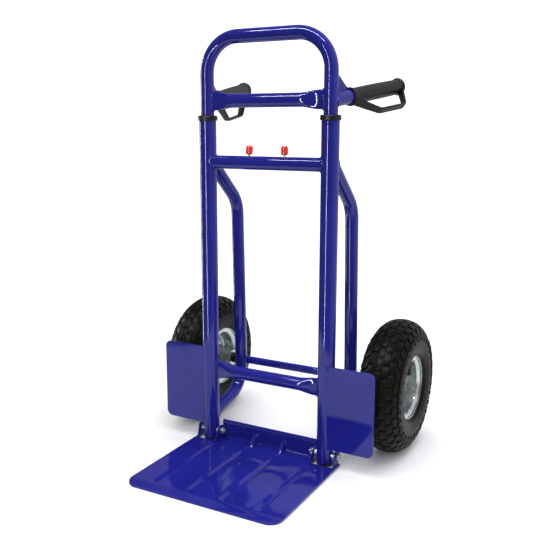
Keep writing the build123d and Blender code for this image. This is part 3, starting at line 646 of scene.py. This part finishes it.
hinge_z = (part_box("right_hinge_bolt")[0].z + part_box("right_hinge_bolt")[1].z) * 500
ear_r, bend_z = 11, flat_z + 3
over = np.radians(np.linspace(143, 0, 24))
top = np.stack([ear_r * np.cos(over), hinge_z + ear_r * np.sin(over)], -1)
inner_outline = [(-25, bend_z), *top, (11, bend_z)]
over = np.radians(np.linspace(163, 0, 24))
top = np.stack([ear_r * np.cos(over), hinge_z + ear_r * np.sin(over)], -1)
outer_outline = [(-15.5, bend_z), *top, (5, bend_z)]
for side, word in ((1, "right"), (-1, "left")):
    ears = [
        ear(side * (ear_in - sheet / 2), -side, (-25, 11), inner_outline),
        ear(side * (ear_out + sheet / 2), side, (-15.5, 5), outer_outline),
    ]
    make_piece(f"{word}_hinge_ears", ears, "toe_plate", blue_enamel, thick=sheet, bevel=0.5)

# ---- hinge bolts, nuts and spacers ----
# An M8 zinc-plated bolt each side through the ears and the foot of the main tube, with a
# domed nut on the inside and a short tube spacer each side of the main tube.


def hex_head(flats, start, height, centre, axis, dome):
    """A hexagon turned from a profile: each radius is the smaller of the hexagon's own
    radius at that angle, flats / 2 over cosine, and the chamfer's cone."""
    levels = np.array([0, 0, 0.5, height - 1.1, height - 0.5, height, height + dome, height + dome])
    cone = np.array([0, 0.49, 0.6, 0.6, 0.555, 0.47, 0.3, 0]) * flats
    grid = turned(np.stack([start + levels, 0 * levels + 1.0], -1), centre, axis, 48)
    angle = np.linspace(0, 2 * np.pi, 48, endpoint=False)
    flat_r = flats / 2 / np.cos((angle + np.pi / 6) % (np.pi / 3) - np.pi / 6)
    middle = np.array(centre, float) + (start + levels)[None, :, None] * np.array(axis, float)
    return skin(middle + (grid - middle) * np.minimum(flat_r[:, None], cone[None, :])[..., None], True)


for side, word in ((1, "right"), (-1, "left")):
    axis, centre = (side, 0, 0), (0, 0, hinge_z)
    head_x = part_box("right_hinge_bolt")[1].x * 1000 - 5.5
    nut_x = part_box("right_hinge_nut")[1].x * 1000
    shank_profile = [(nut_x - 8.5, 0), (nut_x - 8.5, 3.4), (nut_x - 7.8, 4), (head_x + 1, 4), (head_x + 1, 0)]
    shank = skin(turned(shank_profile, centre, axis, 32), True)
    screw = [shank, hex_head(13, head_x, 5.0, centre, axis, 0.5)]
    make_piece(f"{word}_hinge_screw", screw, "frame", zinc_plate, [f"{word}_hinge_bolt"], sharp=30)
    nut_centre = (side * nut_x, 0, hinge_z)
    nut = hex_head(13, 0, 5.6, nut_centre, (-side, 0, 0), 1.6)
    make_piece(f"{word}_domed_nut", [nut], "frame", zinc_plate, [f"{word}_hinge_nut"], sharp=30)
    rings = []
    for x0, x1 in ((ear_in + 0.3, tube_x - 14.2), (tube_x + 14.2, ear_out - 0.3)):
        profile = [(x0, 4.05), (x0, 6.6), (x0 + 0.4, 7), (x1 - 0.4, 7), (x1, 6.6), (x1, 4.05)]
        rings.append(skin(turned(profile, centre, axis, 40), True, True))
    make_piece(f"{word}_spacer_tubes", rings, "frame", zinc_plate, [f"{word}_hinge_spacers"])

# ---- handle tube ----
# One 25.4 mm tube bent into a U, with the faint flattening a bender leaves in each corner.
# It slides in the main tubes, and each leg has four lock holes facing inward.
low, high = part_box("handle_tube")
handle_r, lock_step = 12.7, 110
handle_foot, handle_top = low.z * 1000, high.z * 1000 - handle_r
corners = [(-tube_x, handle_foot), (-tube_x, handle_top), (tube_x, handle_top), (tube_x, handle_foot)]
line = bent_line(corners, [64.5, 64.5], 3.0)
lift = lambda flat: np.insert(flat, 1, 0, axis=1)
walls = bent_tube(line, lift, handle_r, 0.045, 80)
loop = np.concatenate([walls[0], walls[1][:, ::-1]], axis=1)
make_piece("handle_loop", [skin(loop, True, True)], "handle", blue_enamel, ["handle_tube"])
# Each lock hole is a thin plug that follows the tube's side, coloured near black as painted shade: it stands
# in for the shade inside a drilled hole.
dark, tree, shader, where = start_material("painted_hole_shade", Roughness=0.9)
hole_shade_noise = add_node(tree, "ShaderNodeTexNoise", {"Vector": where, "Scale": 1000 / 2})
deep = add_node(tree, "ShaderNodeValToRGB", {"Fac": hole_shade_noise.outputs["Fac"]})
deep.color_ramp.elements[0].color = srgb("06070C")
deep.color_ramp.elements[1].color = srgb("0C0D18")
tree.links.new(deep.outputs["Color"], shader.inputs["Base Color"])
a = np.linspace(0, 2 * np.pi, 32, endpoint=False)[:, None]
r = np.array([0, 2.2, 4.3, 4.3, 2.2, 0])[None, :]
skin_r = np.array([12.74, 12.74, 12.74, 12.2, 12.2, 12.2])[None, :]
for side, word in ((1, "right"), (-1, "left")):
    holes = []
    for step in range(4):
        y = r * np.cos(a)
        hole_x = side * (tube_x - np.sqrt(skin_r**2 - y**2))
        holes.append(skin(np.stack([hole_x, y, cross_z - lock_step * step + r * np.sin(a)], -1), True))
    make_piece(f"{word}_lock_holes", holes, "handle", (dark, "blue_enamel"))
low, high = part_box("handle_crossbar")
flared_bar("flared_handle_bar", (low.z + high.z) * 500, handle_r, "handle", "handle_crossbar", 61)

# ---- grip stubs, gussets and hand grips ----
# A 25 mm stub each side, welded to the handle leg and pointing back, out and up, with a
# small gusset over it, and a black moulded grip with a hand guard strap pushed onto it.
# Grip plastic: soft PVC moulding with a fine leather-like grain and a dull sheen.
grip_soft, tree, shader, where = start_material("black_grained_grip", IOR=1.5, Specular_IOR_Level=0.28)
cells = add_node(tree, "ShaderNodeTexVoronoi", {"Vector": where, "Scale": 1000 / 1.1}, feature="SMOOTH_F1")
fine = add_node(tree, "ShaderNodeTexNoise", {"Vector": where, "Scale": 1000 / 0.6, "Detail": 2.0})
worn = add_node(tree, "ShaderNodeTexNoise", {"Vector": where, "Scale": 1000 / 30, "Detail": 2.0})
grip_tone = add_node(tree, "ShaderNodeValToRGB", {"Fac": worn.outputs["Fac"]})
grip_tone.color_ramp.elements[0].color = srgb("0E0E0C")
grip_tone.color_ramp.elements[1].color = srgb("171614")
tree.links.new(grip_tone.outputs["Color"], shader.inputs["Base Color"])
dull = add_node(tree, "ShaderNodeMapRange", {"Value": fine.outputs["Fac"], "To Min": 0.36, "To Max": 0.56})
tree.links.new(dull.outputs["Result"], shader.inputs["Roughness"])
grain = add_node(
    tree, "ShaderNodeBump", {"Height": cells.outputs["Distance"], "Strength": 0.25, "Distance": 0.0003}
)
tree.links.new(grain.outputs["Normal"], shader.inputs["Normal"])
grip_plastic = (grip_soft, "grip_plastic")

stub_z, splay, lift_angle = 669.3, math.radians(12.1), math.radians(8.5)
strap_turn = {"left": -2.4, "right": 49.2}


def strap(root, along, across, width_way, line):
    """The guard strap: a rounded-flat section, from powers of sine and cosine, carried along
    its bent line, wider near both ends and closed there."""
    points, tangents, bend = line
    centre = root + points[:, :1] * along + points[:, 1:] * across
    forward = tangents[:, :1] * along + tangents[:, 1:] * across
    normal = np.cross(width_way, forward)
    run = np.concatenate([[0], np.cumsum(np.hypot(*np.diff(points, axis=0).T))])
    flare = 1 + 0.32 * np.exp(-run / 14) + 0.25 * np.exp(-(run[-1] - run) / 12)
    angle = np.linspace(0, 2 * np.pi, 28, endpoint=False)
    wide = 6.5 * np.sign(np.cos(angle)) * np.abs(np.cos(angle)) ** 0.45
    thick = 2.3 * np.sign(np.sin(angle)) * np.abs(np.sin(angle)) ** 0.6
    section = wide[None, :, None] * flare[:, None, None] * width_way + thick[None, :, None] * normal[:, None]
    body = centre[:, None] + section
    ends = [centre[:1, None] + 0 * body[:1], body, centre[-1:, None] + 0 * body[:1]]
    return skin(np.concatenate(ends), False, True)


for side, word in ((1, "right"), (-1, "left")):
    level = math.cos(lift_angle)
    along = np.array([side * math.sin(splay) * level, math.cos(splay) * level, math.sin(lift_angle)])
    outward = np.cross(along, (0, 0, 1)) * side
    outward /= np.linalg.norm(outward)
    down = np.cross(along, outward) * side
    turn = math.radians(strap_turn[word])
    across = down * math.cos(turn) + outward * math.sin(turn)
    root = np.array([side * tube_x, 0.0, stub_z])
    other = np.cross(along, across)
    angle = np.linspace(0, 2 * np.pi, 168, endpoint=False)
    circles = []
    for radius in (bar_r, bar_r - wall):
        ring = radius * (np.cos(angle)[:, None] * across + np.sin(angle)[:, None] * other)
        foot = slide_to_post(root + ring, along, side * tube_x, handle_r - 0.3)
        circles.append(np.stack([foot, root + ring + 190 * along], 1))
    stub = np.concatenate([circles[0], circles[1][:, ::-1]], axis=1)
    make_piece(f"{word}_stub_tube", [skin(stub, True, True)], "handle", blue_enamel, [f"{word}_grip_stub"])
    ring = bar_r * (np.cos(angle)[:, None] * across + np.sin(angle)[:, None] * other)
    foot = slide_to_post(root + ring, along, side * tube_x, handle_r)
    bead = weld_ring(foot, along, 2.2, 28, 71 + side)
    make_piece(f"{word}_stub_weld", [bead], "handle", blue_enamel, sharp=70)
    flat = np.array([along[0], along[1], 0.0]) / math.hypot(along[0], along[1])
    u = np.linspace(0, 1, 14)
    web_reach, web_top = 50, 48.7
    reach = handle_r - 0.8 + u * (web_reach - handle_r)
    floor = reach * math.tan(lift_angle) + bar_r - 0.6
    fall = web_reach * math.tan(lift_angle) + bar_r + 3 - web_top
    ceiling = web_top + fall * smooth(u * 1.02) * 0.35 + fall * 0.65 * u
    v = np.linspace(0, 1, 8)[:, None]
    height = floor + v * (ceiling - floor)
    web = root + (reach + 0 * v)[..., None] * flat + height[..., None] * np.array([0, 0, 1.0])
    make_piece(
        f"{word}_stub_web", [skin(web)], "handle", blue_enamel, [f"{word}_stub_gusset"],
        thick=3.0, bevel=0.7,
    )

    swell = np.linspace(60, 213, 18)
    body_r = 14.0 + 0.55 * np.sin(np.pi * (swell - 60) / 153)
    grip_profile = np.concatenate([
        [(54.3, 12.55), (54.3, 15.7), (54.6, 16.3), (55.2, 16.5)],
        [(57.2, 16.5), (57.9, 16.2), (58.3, 15.4), (58.9, 14.5)],
        np.stack([swell, body_r], -1),
        [(214.6, 14.5), (215.2, 15.5), (215.8, 16.2), (216.6, 16.5)],
        [(218.4, 16.3), (219.2, 15.4), (219.5, 13.8), (219.5, 0)],
        [(190.5, 0), (190.5, 12.55)],
    ])
    grip = skin(turned(grip_profile, root, along, 72), True, True)
    strap_line = bent_line([(57.0, 12.0), (98.4, 46.0), (179.4, 47.5), (214.0, 11.0)], [13.0, 15.0], 8.0)
    guard_strap = strap(root, along, across, np.cross(along, across), strap_line)
    moulding = [grip, guard_strap]
    make_piece(f"{word}_grip_moulding", moulding, "handle", grip_plastic, [f"{word}_hand_grip"], sharp=45)

# ---- latch knobs ----
# Two turned knobs of glossy red plastic on steel stems. Each stands over its slot and is
# pinched towards the other to draw the lock pins.
# Glossy red plastic: saturated orange-red that glows a little and has a sharp highlight.
knob_red, tree, shader, where = start_material(
    "glossy_red_plastic", IOR=1.5, Roughness=0.2, Subsurface_Weight=0.1, Subsurface_Scale=0.002
)
flow = add_node(tree, "ShaderNodeTexNoise", {"Vector": where, "Scale": 1000 / 6, "Detail": 2.0})
reds = add_node(tree, "ShaderNodeValToRGB", {"Fac": flow.outputs["Fac"]})
reds.color_ramp.elements[0].color = srgb("D8250F")
reds.color_ramp.elements[1].color = srgb("EE3A1C")
tree.links.new(reds.outputs["Color"], shader.inputs["Base Color"])
red_plastic = (knob_red, "red_plastic")
knob_profile = [
    (0, 0), (0, 4.6), (0.3, 5.0), (2.2, 6.3), (2.9, 6.5), (3.4, 6.5), (12.4, 6.35), (13.2, 6.25),
    (15.4, 5.0), (16, 4.3), (16, 0),
]
stem_profile = [(-12, 0), (-12, 2.2), (1, 2.2), (1, 0)]
for side, word in ((1, "right"), (-1, "left")):
    knob_foot, lean = cross_z + bar_r + 3.0, math.radians(8.0 if side < 0 else 0.0)
    foot = (side * knob_x, 0, knob_foot)
    axis = (math.sin(lean), 0, math.cos(lean))
    knob = skin(turned(knob_profile, foot, axis, 40), True)
    make_piece(f"{word}_pull_knob", [knob], f"{word}_latch", red_plastic, [f"{word}_release_knob"], sharp=25)
    stem = skin(turned(stem_profile, foot, (0, 0, 1), 24), True)
    make_piece(f"{word}_knob_stem", [stem], f"{word}_latch", zinc_plate)

# ---- wheels ----
# Each wheel is a pneumatic 260 mm tyre on two pressed, zinc-plated half rims that bolt
# together, with a tube hub and ball bearings, and a rubber-covered valve.
# Tyre rubber: carbon-black rubber, dull and slightly brown, with mould bloom on the walls.
rubber, tree, shader, where = start_material("carbon_black_rubber", IOR=1.5, Specular_IOR_Level=0.10)
dust = add_node(tree, "ShaderNodeTexNoise", {"Vector": where, "Scale": 1000 / 45, "Detail": 4.0})
black = add_node(tree, "ShaderNodeValToRGB", {"Fac": dust.outputs["Fac"]})
black.color_ramp.elements[0].position = 0.35
black.color_ramp.elements[0].color = srgb("0A0A06")
black.color_ramp.elements[1].position = 0.7
black.color_ramp.elements[1].color = srgb("12110B")
tree.links.new(black.outputs["Color"], shader.inputs["Base Color"])
pores = add_node(tree, "ShaderNodeTexNoise", {"Vector": where, "Scale": 1000 / 1.3, "Detail": 3.0})
matt = add_node(tree, "ShaderNodeMapRange", {"Value": pores.outputs["Fac"], "To Min": 0.3, "To Max": 0.52})
tree.links.new(matt.outputs["Result"], shader.inputs["Roughness"])
skin_bump = add_node(
    tree, "ShaderNodeBump", {"Height": pores.outputs["Fac"], "Strength": 0.25, "Distance": 0.0002}
)
tree.links.new(skin_bump.outputs["Normal"], shader.inputs["Normal"])
tyre_rubber = (rubber, "tyre_rubber")

low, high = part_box("right_tyre")
wheel_x, wheel_r = (low.x + high.x) * 500, (high.z - low.z) * 500
half_tyre, mid_tyre_r, seat_r, lip_r, half_rim = 41.0, 90.4, 50.8, 61.0, 27.0
t = np.linspace(0, np.pi / 2, 400)
crown_x = half_tyre * np.sin(t) ** 0.9
crown_r = mid_tyre_r + (wheel_r - mid_tyre_r) * np.cos(t) ** 0.9
wall_x = half_rim + (half_tyre - half_rim) * np.cos(t) ** 0.85
wall_r = mid_tyre_r - (mid_tyre_r - lip_r) * np.sin(t) ** 0.95
outer_x = np.concatenate([crown_x, wall_x[1:]])
outer_r = np.concatenate([crown_r, wall_r[1:]])
outer_p = np.concatenate([[0], np.cumsum(np.hypot(np.diff(outer_x), np.diff(outer_r)))])
slope_x, slope_r = np.gradient(outer_x, outer_p), np.gradient(outer_r, outer_p)
pitches, carcass = 32, -5.2


def on_tyre(side, p, turn, height):
    """A point on the tyre: p is the distance from the crown over the wall, turn the angle
    round the axle, and height stands off along the wall's own normal."""
    reach, sign = np.abs(p), np.where(p < 0, -1.0, 1.0)
    x = np.interp(reach, outer_p, outer_x) - height * np.interp(reach, outer_p, slope_r)
    r = np.interp(reach, outer_p, outer_r) + height * np.interp(reach, outer_p, slope_x)
    return np.stack([side * (wheel_x + sign * x), axle_y + r * np.sin(turn), axle_z + r * np.cos(turn)], -1)


def tread_block(side, turn, p0, p1, length, skew, top):
    """A tread block on a unit square: bilinear between p0 and p1 across and its length round
    the tyre, sheared by skew; its rim drops below the carcass and closes underneath."""
    step = np.array([0, 0.035, 0.09, 0.91, 0.965, 1.0])
    u, v = np.meshgrid(step, step, indexing="ij")
    edge = np.minimum(np.minimum(u, 1 - u), np.minimum(v, 1 - v))
    height = np.interp(edge, [0, 0.035, 0.09], [carcass, top - 0.6, top])
    p = p0 + u * (p1 - p0)
    at = turn + ((v - 0.5) * length + (u - 0.5) * skew) / wheel_r
    return [skin(on_tyre(side, p, at, height)), skin(on_tyre(side, p, at, 0 * height + carcass))]


for side, word in ((1, "right"), (-1, "left")):
    turn = np.linspace(0, 2 * np.pi, 224, endpoint=False)[:, None]
    p = np.linspace(-outer_p[-1], outer_p[-1], 180)[None, :]
    r_here = np.interp(np.abs(p), outer_p, outer_r)
    groove = -2.6 * (1 - smooth((np.abs(p) - 40) / 14))
    ribs = 0.7 * np.exp(-((r_here - 69) / 0.9) ** 2)
    ribs = ribs + 0.6 * np.exp(-((r_here - 76) / 0.8) ** 2) + 0.5 * np.exp(-((r_here - 83) / 0.8) ** 2)
    outside = on_tyre(side, p + 0 * turn, turn + 0 * p, groove + ribs + 0 * turn)
    inner_profile = np.array([
        (26.5, 52.5), (25.6, 51.2), (24.0, seat_r), (19, seat_r), (18.6, 56), (24, 64), (32, 76), (35.5, 90),
        (34, 104), (27, 114.5), (14, 119.4), (0, 120.2),
    ])
    inner_profile = np.concatenate([inner_profile, inner_profile[-2::-1] * (-1, 1)])
    inner_x, inner_r = inner_profile.T[:, None]
    inside_y, inside_z = axle_y + inner_r * np.sin(turn), axle_z + inner_r * np.cos(turn)
    inside = np.stack([side * (wheel_x + inner_x) + 0 * turn, inside_y, inside_z], -1)
    blocks = []
    for k in range(pitches):
        at, half_step = 2 * np.pi * k / pitches, np.pi / pitches
        blocks += tread_block(side, at, -7.1, 7.1, 24.3, 0, 0)
        for way in (1, -1):
            blocks += tread_block(side, at + half_step, way * 8.3, way * 20.8, 24.0, way * 2.0, 0)
            blocks += tread_block(side, at, way * 22.0, way * 34.7, 22.0, way * 4.0, 0.1)
            blocks += tread_block(side, at + half_step, way * 35.9, way * 47.2, 18.6, way * -4.0, 0.5)
            blocks += tread_block(side, at, way * 48.6, way * 61.5, 13.0, way * 3.0, 1.9)
            blocks += tread_block(side, at + half_step, way * 49.5, way * 57.0, 7.5, way * 2.0, 1.5)
    tyre = skin(np.concatenate([outside, inside], axis=1), True, True)
    skins = [tyre, *blocks]
    make_piece(f"{word}_tread_tyre", skins, f"{word}_wheel", tyre_rubber, [f"{word}_tyre"], sharp=32)

# Pressed half rims: the disc is dished near the hub, turns into a barrel through a wide
# press radius, and ends in a rolled lip that holds the bead.
half_rim_line = [
    (3.2, 16.2), (3.2, 19.5), (1.0, 23.5), (1.0, 47.0), (3.5, 49.2), (25.0, 50.2), (28.4, 53.5), (28.4, 60.2),
]
rim_path = bent_line(half_rim_line, [1.2, 1.2, 2.2, 2.2, 3.0, 3.0], 12.0)[0]
lip = np.radians(np.linspace(0, 200, 9))[1:]
rim_path = np.concatenate([rim_path, np.stack([29.9 - 1.5 * np.cos(lip), 60.2 + 1.5 * np.sin(lip)], -1)])
bolt_axis_r = 33.0
for side, word in ((1, "right"), (-1, "left")):
    centre = (side * wheel_x, axle_y, axle_z)
    for way, half_name in ((1, "outer"), (-1, "inner")):
        dish = turned(rim_path, centre, (way * side, 0, 0), 112)
        make_piece(
            f"{word}_{half_name}_half_rim", [skin(dish, True)], f"{word}_wheel", zinc_plate,
            [f"{word}_{half_name}_rim"], thick=1.9, bevel=0.4,
        )
    bolts = []
    for k in range(4):
        turn = math.radians(45 + 90 * k)
        bolt_y, bolt_z = axle_y + bolt_axis_r * math.cos(turn), axle_z + bolt_axis_r * math.sin(turn)
        at = (side * wheel_x, bolt_y, bolt_z)
        bolts.append(hex_head(13, 2.0, 5.0, at, (side, 0, 0), 0.5))
        bolts.append(hex_head(13, 2.0, 6.0, at, (-side, 0, 0), 0.3))
        washer_profile = [(1.9, 4), (1.9, 8.2), (2.2, 8.5), (3.1, 8.5), (3.4, 8.2), (3.4, 4)]
        bolts.append(skin(turned(washer_profile, at, (side, 0, 0), 32), True, True))
        stud_profile = [(-10.5, 0), (-10.5, 3.4), (-9.8, 4.0), (3, 4.0), (3, 0)]
        bolts.append(skin(turned(stud_profile, at, (side, 0, 0), 24), True))
    make_piece(f"{word}_rim_bolt_set", bolts, f"{word}_wheel", zinc_plate, [f"{word}_rim_bolts"], sharp=30)
    hub_low, hub_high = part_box(f"{word}_hub")
    start = hub_low.x * 1000 if side > 0 else -hub_high.x * 1000
    end = hub_high.x * 1000 if side > 0 else -hub_low.x * 1000
    hub_profile = [
        (start, 14.05), (start, 15.6), (start + 0.4, 16), (start + 9, 16), (start + 10, 15.7),
        (wheel_x - 6, 15.7), (wheel_x - 4, 16), (end - 10, 16), (end - 0.4, 16), (end, 15.6), (end, 14.05),
    ]
    hub = turned(hub_profile, (0, axle_y, axle_z), (side, 0, 0), 64)
    make_piece(f"{word}_tube_hub", [skin(hub, True, True)], f"{word}_wheel", zinc_plate, [f"{word}_hub"])

# Soft rubber of the valve: dull black with a fine skin, ribbed below its cap.
soft, tree, shader, where = start_material("soft_valve_rubber", IOR=1.52)
shader.inputs["Base Color"].default_value = srgb("191918")
haze = add_node(tree, "ShaderNodeTexNoise", {"Vector": where, "Scale": 1000 / 1.0, "Detail": 2.0})
dull = add_node(tree, "ShaderNodeMapRange", {"Value": haze.outputs["Fac"], "To Min": 0.4, "To Max": 0.6})
tree.links.new(dull.outputs["Result"], shader.inputs["Roughness"])
soft_rubber = (soft, "soft_rubber")
for side, word in ((1, "right"), (-1, "left")):
    lean = math.radians(14.0)
    inward = np.array([side * 0.10, -math.sin(lean), -math.cos(lean)])
    root_y, root_z = axle_y + 50.0 * math.sin(lean), axle_z + 50.0 * math.cos(lean)
    root = np.array([side * (wheel_x + 20.5), root_y, root_z])
    s = np.linspace(0, 19, 96)
    ribbed = 4.9 - 0.05 * s + 0.5 * np.clip(np.sin(s * 2 * np.pi / 3.2), -0.5, 0.5)
    cap_s = np.linspace(19.2, 28.0, 30)
    cap_r = 3.9 + 0.0 * cap_s - 0.7 * smooth((cap_s - 26.5) / 1.5)
    valve_profile = np.concatenate([
        [(-0.5, 0), (-0.5, 6.2), (0, 6.0)], np.stack([s, ribbed], -1)[2:], [(19.1, 3.3)],
        np.stack([cap_s, cap_r], -1), [(28.3, 2.4), (28.4, 0)],
    ])
    valve = skin(turned(valve_profile, root, inward, 32), True)
    make_piece(f"{word}_valve_stem", [valve], f"{word}_wheel", soft_rubber, [f"{word}_valve"], sharp=50)

# ---- pieces that keep their CAD shape ----
# The latch springs, guides, stop and lock pins inside the cross tube, the glide bushes in
# the main tubes, the ball bearings and the inner tubes, each with its own real finish.
# Spring steel: drawn wire, dark and oily, with a brighter line along each coil.
wire, tree, shader, where = start_material("drawn_spring_steel", Metallic=1.0)
oil = add_node(tree, "ShaderNodeTexNoise", {"Vector": where, "Scale": 1000 / 3, "Detail": 2.0})
steel = add_node(tree, "ShaderNodeValToRGB", {"Fac": oil.outputs["Fac"]})
steel.color_ramp.elements[0].color = srgb("5E5F61")
steel.color_ramp.elements[1].color = srgb("8A8B8C")
tree.links.new(steel.outputs["Color"], shader.inputs["Base Color"])
film = add_node(tree, "ShaderNodeMapRange", {"Value": oil.outputs["Fac"], "To Min": 0.25, "To Max": 0.4})
tree.links.new(film.outputs["Result"], shader.inputs["Roughness"])
kept = {
    "latch_spring": wire, "lock_pin": zinc, "pin_guide": nylon, "glide_bush": nylon,
    "hub_bearings": zinc, "inner_tube": soft,
}
for name, material in kept.items():
    for word in ("left", "right"):
        for slot in cad_nodes[f"{word}_{name}"].material_slots:
            slot.material = material
for slot in cad_nodes["spring_stop"].material_slots:
    slot.material = nylon

# ---- floor, lights and camera ----
# A plain pale floor under a white sky, with a broad soft light overhead and one in front.
# Three narrow strips show only in gloss: two upright and one overhead, which draw the fine
# bright lines along every tube.
floor_paint, tree, shader, where = start_material("matt_white_floor", Roughness=0.9, Specular_IOR_Level=0.1)
shader.inputs["Base Color"].default_value = srgb("F1F2F1")
turn, reach = np.linspace(0, 2 * np.pi, 96, endpoint=False)[:, None], np.array([[0.4, 0.85]])
disc = np.stack([reach * np.cos(turn), reach * np.sin(turn) + 0.04, 0 * reach * turn], -1)
points, faces = skin(disc, True)
floor_mesh = bpy.data.meshes.new("studio_floor")
floor_mesh.from_pydata(points, [], [*faces.tolist(), list(range(0, len(points), 2))])
floor = bpy.data.objects.new("studio_floor", floor_mesh)
floor_mesh.materials.append(floor_paint)
bpy.context.scene.collection.objects.link(floor)

sky = bpy.data.worlds.new("white_studio")
sky.use_nodes = True
tree = sky.node_tree
backdrop = tree.nodes["Background"]
backdrop.inputs["Color"].default_value = (1.0, 1.0, 1.0, 1.0)
backdrop.inputs["Strength"].default_value = 1.3
toward = add_node(tree, "ShaderNodeTexCoord").outputs["Generated"]
apart = add_node(tree, "ShaderNodeSeparateXYZ", {0: toward})
behind = add_node(tree, "ShaderNodeMath", {0: apart.outputs["Y"], 1: apart.outputs["X"]}, operation="ADD")
glow = add_node(tree, "ShaderNodeMapRange", {
    "Value": behind.outputs[0], "From Min": -0.1, "From Max": 1.1, "To Min": 0.20, "To Max": 0.90,
})
dim = add_node(tree, "ShaderNodeBackground", {"Color": srgb("F4F2FF"), "Strength": glow.outputs["Result"]})
seen = add_node(tree, "ShaderNodeLightPath")
is_seen = seen.outputs["Is Camera Ray"]
choose = add_node(tree, "ShaderNodeMixShader", {0: is_seen, 1: dim.outputs[0], 2: backdrop.outputs[0]})
tree.links.new(choose.outputs[0], tree.nodes["World Output"].inputs["Surface"])
bpy.context.scene.world = sky
bpy.context.scene.view_settings.view_transform = "Standard"


def soft_light(name, place, target, width, height, power, mirrored):
    """A rectangular light at a place, turned so that its face looks at the target. A mirrored
    one shows only in gloss, and one that isn't only lights, so gloss doesn't show its shape."""
    lamp = bpy.data.lights.new(name, "AREA")
    lamp.shape = "RECTANGLE"
    lamp.size, lamp.size_y, lamp.energy = width, height, power
    holder = bpy.data.objects.new(name, lamp)
    back = np.array(place, float) - np.array(target, float)
    back /= np.linalg.norm(back)
    right = np.cross((0, 0, 1) if abs(back[2]) < 0.99 else (0, 1, 0), back)
    right /= np.linalg.norm(right)
    turn = np.eye(4)
    turn[:3, 0], turn[:3, 1], turn[:3, 2], turn[:3, 3] = right, np.cross(back, right), back, place
    holder.matrix_world = Matrix(turn.tolist())
    holder.visible_glossy, holder.visible_diffuse = mirrored, not mirrored
    bpy.context.scene.collection.objects.link(holder)


soft_light("overhead_softbox", (0.0, 0.0, 2.8), (0.0, 0.0, 0.0), 3.6, 3.6, 122.0, False)
soft_light("front_softbox", (1.0, -2.4, 1.5), (0.0, 0.0, 0.4), 2.0, 2.0, 34.0, False)
for name, azimuth, power in (("left_strip", -92.0, 26.0), ("front_strip", -8.0, 34.0)):
    turn = math.radians(azimuth)
    place = (2.1 * math.sin(turn), -2.1 * math.cos(turn), 0.35)
    soft_light(name, place, (0.0, 0.0, 0.35), 0.12, 2.0, power, True)
soft_light("overhead_strip", (0.0, -0.9, 2.4), (0.0, 0.0, 0.5), 2.2, 0.13, 62.0, True)

azimuth, elevation, roll = math.radians(28.32), math.radians(11.16), math.radians(0.18)
level = math.cos(elevation)
back = np.array([math.sin(azimuth) * level, -math.cos(azimuth) * level, math.sin(elevation)])
right = np.cross((0, 0, 1), back)
right /= np.linalg.norm(right)
upward = np.cross(back, right)
turn = np.eye(4)
turn[:3, 0] = math.cos(roll) * right + math.sin(roll) * upward
turn[:3, 1] = -math.sin(roll) * right + math.cos(roll) * upward
turn[:3, 2] = back
turn[:3, 3] = (0.6620, -1.2083, 0.6223)
lens = bpy.data.cameras.new("studio_camera")
lens.lens, lens.sensor_width, lens.shift_x = 48.66, 36.0, 0.0011
camera = bpy.data.objects.new("studio_camera", lens)
camera.matrix_world = Matrix(turn.tolist())
bpy.context.scene.collection.objects.link(camera)
bpy.context.scene.camera = camera
